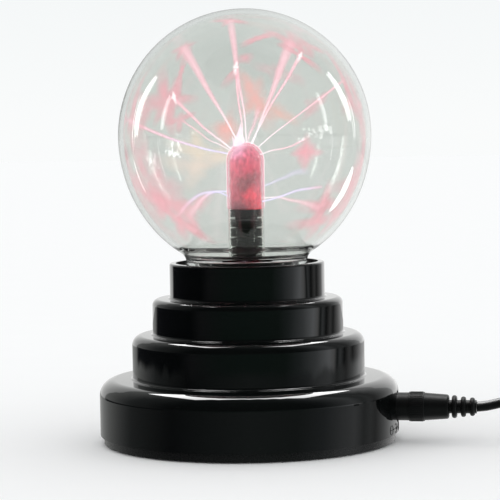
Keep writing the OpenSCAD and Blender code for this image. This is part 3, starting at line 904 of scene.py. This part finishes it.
# centre: azimuth and elevation on the glass. lobes: direction in degrees and length in mm
patches = [Patch(*row) for row in (
    ((130, 77), 2.6, 0.7, [(10, 4.5), (185, 4.8), (270, 2)]),
    ((153, 50), 2.8, 0.6, [(150, 1.5), (250, 3.5), (330, 2)]),
    ((141, 34), 1.2, 0.6, [(80, 8), (262, 9)]),
    ((140, 19), 3.2, 0.45, [(85, 5), (180, 5), (20, 3), (275, 4)]),
    ((-79, 37), 2.1, 0.5, [(20, 1), (215, 2)]),
    ((-84, 31), 0.8, 0.5, [(90, 1.2), (235, 5), (275, 3)]),
    ((-119, 15), 3.6, 0.5, [(115, 7), (165, 6), (60, 2.4), (290, 6), (235, 3)]),
    ((-132, 12), 3.4, 0.36, [(140, 5), (250, 6), (20, 3)]),
    ((-110, 8), 1.8, 0.45, [(20, 3), (190, 3.4), (260, 2)]),
    ((-46, 38), 1.3, 0.6, [(318, 6.5), (135, 5), (60, 2.6), (230, 2)]),
    ((57, 52), 3.4, 0.5, [(60, 6), (235, 4), (0, 2), (120, 3)]),
    ((42, 50), 2.8, 0.45, [(205, 5), (15, 6), (80, 5), (300, 4)]),
    ((86, 57), 1.6, 0.5, [(155, 6), (335, 6)]),
    ((26, 28), 2.4, 0.6, [(100, 9), (280, 8)]),
    ((17, 14), 4.2, 0.5, [(95, 6), (180, 4), (270, 8), (330, 4)]),
    ((-20, 16), 2.8, 0.3, [(80, 5), (215, 5), (300, 4)]),
    ((8, -16), 5.4, 0.55, [(80, 9), (110, 7), (245, 8), (280, 6), (200, 4)]),
    ((-14, -22), 5.0, 0.42, [(70, 8), (190, 6), (260, 9)]),
    ((14, -32), 4.2, 0.45, [(60, 6), (200, 7), (280, 6)]),
    ((60, 15), 2.4, 0.45, [(150, 5), (320, 5.5), (20, 2)]),
    ((67, -9), 3.6, 0.6, [(90, 1.6), (180, 2.4), (0, 2.0), (275, 2.4)]),
    ((94, 20), 4.0, 0.42, [(60, 7), (245, 8), (110, 3), (300, 3)], (1.25, 0.6, 0.56)),
    ((84, 12), 3.4, 0.3, [(20, 5), (200, 6)], (1.22, 0.64, 0.56)),
    ((109, 3), 3.6, 0.42, [(100, 2.5), (10, 3), (190, 3), (280, 3)], (1.25, 0.62, 0.58)),
    ((-160, 9), 3.4, 0.55, [(90, 8), (270, 7), (0, 4)]),
    ((176, 10), 3.8, 0.52, [(80, 9), (260, 6), (310, 4)]),
    ((-158, -8), 3.8, 0.36, [(90, 8), (270, 8), (200, 4)]),
    ((-152, -22), 5.2, 0.42, [(95, 9), (285, 11), (240, 5), (340, 9)]),
    ((166, -18), 5.4, 0.42, [(60, 8), (110, 8), (250, 9), (340, 6)]),
    ((-126, -30), 4.8, 0.5, [(88, 10), (170, 11), (215, 6), (345, 5), (35, 5)]),
    ((-121, -39), 3.2, 0.55, [(130, 8), (305, 7), (250, 6)]),
    ((140, -38), 4.6, 0.45, [(20, 5), (160, 9), (275, 6)]),
    ((46, -37), 4.0, 0.5, [(180, 6), (350, 7), (270, 5), (85, 4)]),
    ((20, -42), 3.2, 0.45, [(150, 6), (20, 6), (265, 5)]),
    ((-34, -42), 3.2, 0.45, [(10, 6), (190, 6), (90, 4), (280, 4)]),
    ((-104, -14), 4.2, 0.26, [(20, 7), (170, 8), (250, 4)], (1.25, 0.95, 0.8)),
    ((124, -8), 4.4, 0.3, [(15, 8), (190, 8), (80, 4)], (1.2, 0.95, 0.75)),
    ((80, 33), 3.4, 0.26, [(30, 6), (200, 7)]),
    ((-84, 32), 0.9, 1.0, [(85, 1.4), (265, 2)], knotTint),
    ((-115, 18), 0.8, 1.0, [(300, 1.6), (110, 1)], knotTint),
    ((-46, 38), 0.7, 1.0, [(230, 2.4), (45, 1.2)], knotTint),
    ((-166, 9), 0.7, 0.8, [(0, 1.5)], (1.6, 1.3, 1.4)),
)]


def direction(azimuth, elevation):
    a, e = math.radians(azimuth), math.radians(elevation)
    return Vector((math.cos(a) * math.cos(e), math.sin(a) * math.cos(e), math.sin(e)))


def insideGlass(way, inset):
    # the point on the gas side of the globe's wall along a direction from its middle
    s = glassSetup
    across = s["radius"] - s["wall"] - inset
    down = s["depth"] - s["wall"] - inset if way.z < 0 else across
    size = 1 / math.sqrt((way.x**2 + way.y**2) / across**2 + way.z**2 / down**2)
    return way * size + Vector((0, 0, s["centre"]))


def arcLine(arc, seed):
    # a curve from the electrode to the glass with a slight sway, its own for each seed
    e = electrodeSetup
    azimuth, place = arc.start
    normal = direction(azimuth, place if arc.base == "dome" else 0)
    height = e["domeCentre"] if arc.base == "dome" else place
    start = normal * (e["domeRadius"] + 0.1) + Vector((0, 0, height))
    end = insideGlass(direction(*arc.end), e["gasInset"] + 0.3)
    chord = end - start
    bow = Vector((0, 0, arc.bow))
    first = start + normal * chord.length * e["startReach"] + chord * e["startReach"] + bow * 0.6
    second = end - chord * e["endReach"] + bow
    line = []
    for i in range(e["arcSteps"] + 1):
        t = i / e["arcSteps"]
        u = 1 - t
        point = start * u**3 + first * 3 * u * u * t + second * 3 * u * t * t + end * t**3
        places = [Vector((t * e["swayTurns"], seed * 7.3, 1.7 + 9.1 * axis)) for axis in range(3)]
        sway = Vector([noise.noise(place) for place in places])
        line.append((point + sway * e["sway"] * t * u * 2.2) * mm)
    return line


def addNotes(piece, notes):
    # per-point colour and solidity, read by the gas material
    piece.data.attributes.new("tint", "FLOAT_COLOR", "POINT")
    piece.data.attributes.new("veil", "FLOAT", "POINT")
    tint = piece.data.attributes["tint"]
    veil = piece.data.attributes["veil"]
    for i, (colour, solid) in enumerate(notes):
        tint.data[i].color = (*colour, 1)
        veil.data[i].value = solid


def arcColour(arc, t):
    violetPart = electrodeSetup["violetPart"] if arc.violet is None else arc.violet
    early = violet if violetPart > 0.2 else hotWhite
    blend = min(max((t - violetPart) / 0.35, 0), 1)
    return early.lerp(pink, blend)


def dischargeArcs():
    # every arc is a hair-thin bright core in nested soft tubes
    e = electrodeSetup
    halo, cores = ([], [], []), ([], [], [])
    for k, arc in enumerate(arcs):
        line = arcLine(arc, k)
        n = len(line) - 1
        along = [i / n for i in range(n + 1)]
        narrow, wide = arc.width
        for layer in e["haloLayers"]:
            given, radii = [], []
            for t in along:
                solid = e["haloSolid"] * arc.glow * (0.7 + 0.3 * min(t * 2, 1))
                solid *= 1 - 0.5 * max(t - 0.9, 0) / 0.1
                given.append((hotWhite.lerp(arcColour(arc, t), min(0.35 + layer, 1)), solid))
                width = narrow + (wide - narrow) * t ** e["haloFlare"]
                radii.append(max(width * layer, 0.05) * 0.75 * mm)
            tubePoints(line, radii, e["arcSides"], *halo, given)
        given = []
        base = hotWhite if arc.violet is None else violet * 1.25
        for t in along:
            fade = max(0, 1 - (t / 0.92) ** 3) if wide > 1.5 else 1
            colour = base.lerp(pink, min(t * 1.1, 1) * 0.75)
            given.append((colour, min(e["coreSolid"] * arc.glow, 0.9) * fade))
        radii = [(e["coreRadius"] - e["coreThinning"] * t) * mm for t in along]
        tubePoints(line, radii, 6, *cores, given)
    for name, (points, faces, notes) in (("arc_glow", halo), ("arc_cores", cores)):
        piece = addPiece(name, points, faces)
        addNotes(piece, notes)
        dress(piece, plasma(name.replace("_", " ")))
        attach(piece, "root")


def patchMesh(patch, seed, points, faces, notes):
    # a thin closed film on the inside of the glass, with lobes, fading to its edge
    s = filmSetup
    middle = direction(*patch.centre)
    a = math.radians(patch.centre[0])
    east = Vector((-math.sin(a), math.cos(a), 0))
    north = middle.cross(east)
    rings, sides, lift = s["rings"], s["sides"], electrodeSetup["gasInset"]
    size = glassSetup["radius"] - glassSetup["wall"]
    tint = Vector(patch.tint)
    angles = [2 * math.pi * k / sides for k in range(sides)]
    outline = []
    for angle in angles:
        reach = patch.core
        for lobe, length in patch.lobes:
            off = (math.degrees(angle) - lobe + 180) % 360 - 180
            reach += length * math.exp(-((off / s["lobeWidth"]) ** 2))
        ragged = noise.noise(Vector((math.cos(angle) * 2.4, math.sin(angle) * 2.4, seed * 3.1)))
        outline.append(reach * s["reach"] * (1 + s["ragged"] * ragged) / size)
    for face in (0, 1):
        first = len(points)
        inset = lift + s["thickness"] * face
        points.append(insideGlass(middle, inset) * mm)
        notes.append((tint, patch.solid))
        for ring in range(1, rings + 1):
            part = ring / rings
            edgeInset = inset if ring < rings else lift + s["thickness"] / 2
            solid = patch.solid * max(0, 1 - part**1.6) ** 1.5
            for angle, reach in zip(angles, outline):
                across = east * math.cos(angle) + north * math.sin(angle)
                way = middle + across * math.tan(reach * part)
                points.append(insideGlass(way.normalized(), edgeInset) * mm)
                notes.append((tint, solid))
        for k in range(sides):
            n = (k + 1) % sides
            tip = (first, first + 1 + k, first + 1 + n)
            faces.append(tip if face == 0 else tip[::-1])
            for ring in range(rings - 1):
                base = first + 1 + ring * sides
                quad = (base + k, base + sides + k, base + sides + n, base + n)
                faces.append(quad if face == 0 else quad[::-1])


def glassGlow():
    points, faces, notes = [], [], []
    for k, patch in enumerate(patches):
        patchMesh(patch, k, points, faces, notes)
    piece = addPiece("glass_glow", points, faces)
    addNotes(piece, notes)
    dress(piece, plasma("glass glow", True))
    shape = bmesh.new()
    shape.from_mesh(piece.data)
    bmesh.ops.remove_doubles(shape, verts=shape.verts, dist=0.0001 * mm)
    shape.to_mesh(piece.data)
    shape.free()
    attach(piece, "root")


coronaSetup = {
    "electrode_corona": {
        "wires": 120, "radius": 6.1, "bottom": 74.2, "thickness": 0.014, "solid": 0.85,
        "tint": (1.5, 1.2, 1.28),
    },
    "electrode_halo": {
        "wires": 96, "radius": 5.84, "bottom": 74.0, "thickness": 0.05, "solid": 0.26,
        "tint": (1.1, 0.27, 0.42),
    },
}


def corona(name, s):
    # fine upright streamers over the electrode glass, crowding into a line at its rim
    dome = electrodeSetup["domeCentre"]
    rise = dome - s["bottom"]
    line = [Vector((s["radius"], 0, s["bottom"] + rise * i / 12)) * mm for i in range(12)]
    line += [Vector((r, 0, z)) * mm for r, z in arcPoints((0, dome), s["radius"], 0, 80, 12)]
    points, faces, notes = [], [], []
    n = len(line) - 1
    given = [(Vector(s["tint"]), s["solid"] * min(1, 0.45 + 1.2 * i / n)) for i in range(n + 1)]
    tubePoints(line, [s["thickness"] * mm] * len(line), 5, points, faces, notes, given)
    wire = addPiece("streamer", points, faces)
    addNotes(wire, notes)
    piece = ringOf(name, wire, s["wires"], plasma(name.replace("_", " ")))
    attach(piece, "root")


flareSetup = {
    "offset": (-1.9, -1.2),  # sideways and away from the axis
    "layers": (0.2, 0.36, 0.52, 0.68, 0.84, 1.0),
    "steps": 18,
    "widest": 0.42,
    "flames": [
        {"down": 3.0, "long": 9.5, "wide": 1.7, "tint": (1.65, 1.25, 1.5), "solid": 0.34, "lean": 0.35},
        {"down": 4.6, "long": 8.0, "wide": 3.4, "tint": (1.5, 0.85, 1.15), "solid": 0.085, "lean": 0.2},
        {"down": 2.0, "long": 4.4, "wide": 1.1, "tint": (1.6, 1.3, 1.5), "solid": 0.2, "lean": -1.2},
    ],
}


def rootFlare():
    # the bright knot where the upper arcs leave the dome, in a loose veil
    s = flareSetup
    points, faces, notes = [], [], []
    top = electrodeSetup["domeCentre"] + electrodeSetup["domeRadius"]
    across = sideways * s["offset"][0] + away * s["offset"][1]
    for flame in s["flames"]:
        for size in s["layers"]:
            line, radii, given = [], [], []
            for i in range(s["steps"] + 1):
                t = i / s["steps"]
                height = top - flame["down"] + flame["long"] * t
                line.append((across * (1 - flame["lean"] * t) + Vector((0, 0, height))) * mm)
                if t < s["widest"]:
                    swell = math.sin(math.pi / 2 * t / s["widest"])
                else:
                    swell = ((1 - t) / (1 - s["widest"])) ** 1.3
                radii.append(max(flame["wide"] * size * swell, 0.03) * mm)
                given.append((hotWhite.lerp(Vector(flame["tint"]), size), flame["solid"] * (1 - 0.6 * t)))
            tubePoints(line, radii, 12, points, faces, notes, given)
    piece = addPiece("arc_root_flare", points, faces)
    addNotes(piece, notes)
    dress(piece, plasma("root flare"))
    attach(piece, "root")


dischargeArcs()
glassGlow()
for name, values in coronaSetup.items():
    corona(name, values)
rootFlare()
print("gas lit")

woolSetup = {
    "radius": 4.75,
    "bottom": 73.95,
    "top": 93.85,
    "rows": 64,
    "turns": 72,
    "lumps": 0.05,
    "tangle": 0.03,
    "fibres": 900,
    "fibreThickness": 0.05,
    "seed": 11,
    "curl": [(-1.1, 0.2, 0.02), (-0.5, -0.15, 0.16), (0.05, 0.1, 0.12), (0.6, 0.3, 0.18), (1.2, -0.1, 0)],
}

# painted glow and painted shade on the wool, which is no lamp: bright places stand in for the gas light
# falling on it, dull ones for its shade; across to the right of the front, height, spread and colour
woolGlowAndShadePlaces = [
    (0.3, 90.0, 3.0, (0.86, 0.085, 0.17)),
    (-2.4, 92.4, 2.2, (1.35, 0.75, 1.1)),
    (2.6, 91.6, 2.0, (0.9, 0.2, 0.3)),
    (1.5, 87.0, 2.8, (0.74, 0.05, 0.1)),
    (-2.2, 86.6, 2.6, (0.85, 0.12, 0.19)),
    (-4.2, 83.0, 1.8, (0.62, 0.12, 0.16)),
    (-0.6, 82.4, 2.1, (0.13, 0.05, 0.05)),
    (2.2, 84.0, 1.5, (0.16, 0.05, 0.055)),
    (1.3, 78.0, 2.6, (0.95, 0.05, 0.09)),
    (-3.4, 78.4, 2.2, (0.6, 0.09, 0.13)),
    (-1.2, 75.4, 2.1, (0.07, 0.035, 0.04)),
    (-0.9, 79.6, 1.4, (0.09, 0.04, 0.045)),
    (4.3, 80.5, 1.7, (0.6, 0.12, 0.16)),
]


def woolPaintedGlow(point):
    # painted glow: the wool's emission colour stands in for the gas light on it, darker at the painted
    # shade places; the same for the front and the back, so it holds from every side
    across = point.dot(sideways)
    total, colour = 1e-6, Vector((0.5, 0.06, 0.09)) * 1e-6
    for side, height, spread, tint in woolGlowAndShadePlaces:
        off = Vector((across - side, point.z - height))
        weight = math.exp(-(off.length / spread) ** 2)
        total += weight
        colour += Vector(tint) * weight
    strands = noise.noise(Vector((point.x * 1.1, point.y * 1.1, point.z * 0.8)))
    return colour / total * (1 + 0.55 * strands)


def woolSkin():
    paint = Paint("wool painted glow")
    tint = paint.node("ShaderNodeAttribute", {"attribute_name": "tint"}, {}, "Color")
    strands = paint.noise(900, 4, 0.7, paint.stretch((1, 1, 0.45)))
    # painted glow: the wool's emission, made brighter and darker along the strands
    lit = paint.fade(strands, 0.7, 1.75, 0.35, 0.68)
    return paint.finish({
        "Base Color": (0.03, 0.02, 0.02),
        "Roughness": 0.6,
        "Emission Color": paint.scaled(tint, lit),
        "Emission Strength": 1.0,
        "Normal": paint.bump(strands, 0.5, 0.0003),
    })


def scatterTree():
    # copies of a fibre strewn over a surface, which stays underneath
    inputs = {"Geometry": "Geometry", "Shape": "Object", "Density": "Float", "Seed": "Int",
              "Finish": "Material"}
    return growTree("strewn fibres", inputs, [
        ("strew", "GeometryNodeDistributePointsOnFaces", {}, [
            ("Mesh", "given Geometry"), ("Density", "given Density"), ("Seed", "given Seed")]),
        ("shape", "GeometryNodeObjectInfo", {}, [("Object", "given Shape")]),
        ("spin", "FunctionNodeRandomValue", {"data_type": "FLOAT"}, [
            (3, 2 * math.pi), ("Seed", "given Seed")]),
        ("aboutNormal", "ShaderNodeCombineXYZ", {}, [("Z", "spin 1")]),
        ("rotate", "FunctionNodeRotateRotation", {"rotation_space": "LOCAL"}, [
            ("Rotation", "strew Rotation"), ("Rotate By", "aboutNormal Vector")]),
        ("place", "GeometryNodeInstanceOnPoints", {}, [
            ("Points", "strew Points"), ("Instance", "shape Geometry"), ("Rotation", "rotate Rotation")]),
        ("join", "GeometryNodeJoinGeometry", {}, [
            ("Geometry", "given Geometry"), ("Geometry", "place Instances")]),
        ("real", "GeometryNodeRealizeInstances", {}, [("Geometry", "join Geometry")]),
        ("finish", "GeometryNodeSetMaterial", {}, [
            ("Geometry", "real Geometry"), ("Material", "given Finish")]),
    ])


def steelWool():
    s = woolSetup
    rows, turns, radius = s["rows"], s["turns"], s["radius"]
    points, faces, notes = [], [], []
    length = s["top"] - s["bottom"]
    for i in range(rows + 1):
        z = s["bottom"] + length * i / rows
        aboveCentre = radius - (s["top"] - z)
        r = radius if aboveCentre < 0 else math.sqrt(max(radius**2 - aboveCentre**2, 0))
        for k in range(turns):
            angle = 2 * math.pi * k / turns
            way = Vector((math.cos(angle), math.sin(angle), 0))
            lump = noise.noise(Vector((way.x * 2.2, way.y * 2.2, z * 0.45)))
            tangle = noise.noise(Vector((way.x * 7, way.y * 7, z * 1.6)))
            lumpy = r * (1 + s["lumps"] * lump + s["tangle"] * tangle)
            point = way * max(lumpy, 0.02) + Vector((0, 0, z))
            points.append(point * mm)
            notes.append((woolPaintedGlow(point), 1))
    for i in range(rows):
        for k in range(turns):
            a, b = i * turns + k, i * turns + (k + 1) % turns
            faces.append((a, b, b + turns, a + turns))
    faces.append(tuple(reversed(range(turns))))
    faces.append(tuple(rows * turns + k for k in range(turns)))
    wool = addPiece("steel_wool_tangle", points, faces)
    addNotes(wool, notes)
    curl = [p * mm for p in catmullRom(s["curl"], 2)]
    points, faces = [], []
    tubePoints(curl, [s["fibreThickness"] * mm] * len(curl), 4, points, faces)
    fibre = addPiece("fibre", points, faces)
    density = s["fibres"] / sum(f.area for f in wool.data.polygons)
    values = {"Shape": fibre, "Density": density, "Seed": s["seed"], "Finish": woolSkin()}
    runTree(wool, scatterTree(), values)
    bpy.data.objects.remove(fibre)
    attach(wool, "root")
    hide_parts("steel_wool")


steelWool()
print("wool glowing")

groundSetup = {"reach": 6.0}

# long soft lights, mirrored by the globe alone: turn from the camera's side, elevations seen from
# the globe, width and radiance
strips = [
    ("left outer high", 114, (0, 33), 0.105, 6),
    ("left outer edge", 119.5, (-6, 20), 0.022, 4),
    ("left outer low", 122, (-22, -9), 0.03, 4),
    ("left inner high", 79, (4, 29), 0.062, 5),
    ("left inner low", 83, (-24, 3), 0.016, 3),
    ("right outer high", -110, (6, 35), 0.1, 6),
    ("right outer edge", -116, (-3, 18), 0.03, 4),
    ("right outer low", -120, (-35, -13), 0.17, 5),
    ("right inner high", -78, (2, 30), 0.05, 5),
    ("right inner low", -84, (-18, 0), 0.014, 3),
]

# small bright things about the room, mirrored as scraps in the globe: turns, rises, how many, radiance
clutter = [
    ("left scraps", (60, 74), (-8, -9), 13, 6),
    ("left far scraps", (88, 100), (-14, -12), 7, 3),
    ("right scraps", (-48, -82), (-4, 4), 12, 4),
]

# what the polished faces mirror, by the turn from the camera's side towards the right:
# first the two upper steps, then everything else
roomHigh = [
    (0.0, (0.46, 0.47, 0.46)), (0.09, (0.42, 0.43, 0.42)), (0.11, (0.02, 0.02, 0.025)),
    (0.3, (0.0, 0.0, 0.004)), (0.34, (0.07, 0.07, 0.075)), (0.42, (0.05, 0.085, 0.07)),
    (0.5, (0.05, 0.095, 0.075)), (0.6, (0.06, 0.1, 0.08)), (0.64, (0.2, 0.24, 0.24)),
    (0.69, (0.62, 0.66, 0.68)), (0.735, (1.4, 1.45, 1.5)), (0.755, (1.0, 1.0, 1.0)),
    (0.768, (0.05, 0.06, 0.06)), (0.78, (0.4, 0.42, 0.43)), (0.8, (0.03, 0.03, 0.03)),
    (0.825, (0.3, 0.3, 0.3)), (0.845, (0.08, 0.08, 0.08)), (0.88, (0.45, 0.45, 0.45)),
    (0.92, (0.8, 0.8, 0.8)), (1.0, (0.5, 0.51, 0.5)),
]
roomLow = [
    (0.0, (0.5, 0.51, 0.5)), (0.1, (0.46, 0.47, 0.46)), (0.15, (0.4, 0.41, 0.4)),
    (0.18, (0.3, 0.31, 0.31)), (0.215, (0.16, 0.17, 0.17)), (0.29, (0.08, 0.085, 0.085)),
    (0.33, (0.03, 0.03, 0.035)), (0.39, (0.07, 0.08, 0.08)), (0.5, (0.13, 0.15, 0.145)),
    (0.6, (0.11, 0.13, 0.125)), (0.66, (0.22, 0.24, 0.25)), (0.705, (0.45, 0.47, 0.48)),
    (0.74, (0.55, 0.57, 0.58)), (0.768, (0.24, 0.25, 0.25)), (0.79, (0.3, 0.31, 0.31)),
    (0.81, (0.2, 0.2, 0.2)), (0.84, (0.42, 0.43, 0.43)), (0.89, (0.85, 0.86, 0.86)),
    (0.94, (0.9, 0.9, 0.9)), (1.0, (0.5, 0.51, 0.5)),
]

# large lights for everything else: metres behind the axis, then a shift, size and radiance
lamps = {
    "overhead": {"behind": 0.3, "shift": (0, 0, 0.95), "size": (1.0, 0.8), "radiance": 15},
    "plug light": {"behind": 0.2, "shift": (0.05, 0, 0.9), "size": (0.7, 0.5), "radiance": 3.2},
    "backdrop": {"behind": 2, "shift": (0, 0, 0.6), "size": (3.2, 1.6), "radiance": 0.6},
}
worldSetup = {
    "lowPaper": (0.955, 0.968, 0.968),
    "highPaper": (0.9, 0.925, 0.93),
    "fill": (1.05, 1.055, 1.06),
    "dimmed": 0.8,  # how much of the room above the steps' view goes dark in front
}


def ground():
    reach = groundSetup["reach"]
    corners = [(-reach, -reach, 0), (reach, -reach, 0), (reach, reach, 0), (-reach, reach, 0)]
    floor = addPiece("ground", corners, [(0, 1, 2, 3)], False)
    paint = Paint("pale ground")
    grain = paint.noise(40, 2)
    dress(floor, paint.finish({
        "Base Color": paint.mixed(grain, (0.925, 0.93, 0.93), (0.935, 0.94, 0.94)),
        "Roughness": 0.9,
        "Specular IOR Level": 0.0,
    }))
    floor.visible_glossy = False
    return floor


def areaLight(name, spot, aim, size, radiance, onlyOn=None, notOn=(), shape="RECTANGLE"):
    data = bpy.data.lights.new(name, "AREA")
    data.shape = shape
    data.size, data.size_y = size
    data.energy = radiance * math.pi * size[0] * size[1]
    light = bpy.data.objects.new(name, data)
    scene.collection.objects.link(light)
    light.location = spot
    light.rotation_euler = (Vector(aim) - Vector(spot)).to_track_quat("-Z", "Y").to_euler()
    light.visible_camera = False
    lit = bpy.data.collections.new(name + " receivers")
    for chosen in [onlyOn] if onlyOn else notOn:
        lit.objects.link(chosen)
    for entry in lit.collection_objects:
        entry.light_linking.link_state = "INCLUDE" if onlyOn else "EXCLUDE"
    light.light_linking.receiver_collection = lit
    return light


def roundGlobe(angle, height):
    # a place one metre from the axis, turned from the camera's side towards the left
    return -away * math.cos(angle) - sideways * math.sin(angle) + Vector((0, 0, height))


def globeStrips(globe):
    heart = glassSetup["centre"] * mm
    for name, azimuth, span, width, radiance in strips:
        low, high = (math.tan(math.radians(e)) + heart for e in span)
        spot = roundGlobe(math.radians(azimuth), (low + high) / 2)
        size = (width, high - low)
        areaLight(name, spot, (0, 0, spot.z), size, radiance, globe, shape="ELLIPSE")


def globeScraps(globe):
    dice = random.Random(5)
    for name, turns, rises, slivers, radiance in clutter:
        for k in range(slivers):
            t = (k + dice.uniform(-0.3, 0.3)) / (slivers - 1)
            angle = math.radians(turns[0] + (turns[1] - turns[0]) * t)
            rise = math.radians(rises[0] + (rises[1] - rises[0]) * t + dice.uniform(-3, 3))
            spot = roundGlobe(angle, math.tan(rise))
            spot.z += glassSetup["centre"] * mm
            size = (dice.uniform(0.012, 0.05), dice.uniform(0.03, 0.13))
            light = areaLight(name, spot, (0, 0, spot.z), size, radiance, globe)
            light.rotation_euler.rotate_axis("Z", dice.uniform(-1.2, 1.2))


def largeLamps(globe, floor):
    middle = Vector((0, 0, 0.08))
    linked = {
        "overhead": {"notOn": (globe, floor, plugBody, plugRibs)},
        "plug light": {"onlyOn": plugBody},
        "backdrop": {"notOn": (globe, floor)},
    }
    for name, s in lamps.items():
        spot = away * s["behind"] + Vector(s["shift"])
        areaLight(name, spot, middle, s["size"], s["radiance"], **linked[name])


def roomWorld():
    # bright paper behind for the eye, a plain fill for dull surfaces, the room for polished ones
    s = worldSetup
    world = bpy.data.worlds.new("studio world")
    scene.world = world
    paint = Paint("", world)
    rays = paint.tree.nodes.new("ShaderNodeLightPath")
    diffuse = Sum(paint, rays.outputs["Is Diffuse Ray"])
    through = Sum(paint, rays.outputs["Is Transmission Ray"])
    mirrored = Sum(paint, rays.outputs["Is Glossy Ray"]) * (1 - through)
    way = paint.node("ShaderNodeTexCoord", output="Generated")

    def along(axis):
        values = {0: way, 1: tuple(axis)}
        return paint.node("ShaderNodeVectorMath", {"operation": "DOT_PRODUCT"}, values, "Value")

    behind = along(away)
    values = {0: along(sideways), 1: along(-away)}
    turned = paint.node("ShaderNodeMath", {"operation": "ARCTAN2"}, values)
    around = turned * (0.5 / math.pi) + 0.5
    rise = along((0, 0, 1))
    high = paint.fade(rise, 0, 1, -0.114, -0.11) * paint.fade(rise, 1, 0, -0.06, -0.03)
    room = paint.mixed(high, paint.ramp(around, roomLow), paint.ramp(around, roomHigh))
    facing = paint.fade(behind, 1, 0, -0.6, -0.1)
    room = paint.scaled(room, 1 - s["dimmed"] * paint.fade(rise, 0, 1, -0.05, 0.02) * facing)
    paper = paint.fade(rise, 0.0, 1.0, 0.0, 0.09)
    backdrop = paint.mixed(paper, s["lowPaper"], s["highPaper"])
    sides = paint.fade(behind, 0.1, 1.0, 0.1, 0.6)
    shade = sides * through + (1 - through)
    seen = paint.scaled(backdrop, shade)
    lit = paint.mixed(diffuse, seen, s["fill"])
    colour = paint.mixed(mirrored, lit, room)
    glow = paint.node("ShaderNodeBackground", {}, {"Color": colour})
    end = paint.tree.nodes.new("ShaderNodeOutputWorld")
    paint.tree.links.new(glow.socket, end.inputs["Surface"])


floor = ground()
globeStrips(blown)
globeScraps(blown)
largeLamps(blown, floor)
roomWorld()
scene.view_settings.view_transform = "Standard"
scene.cycles.max_bounces = 20
scene.cycles.transmission_bounces = 20
scene.cycles.glossy_bounces = 8
scene.cycles.transparent_max_bounces = 64
print("studio lit")
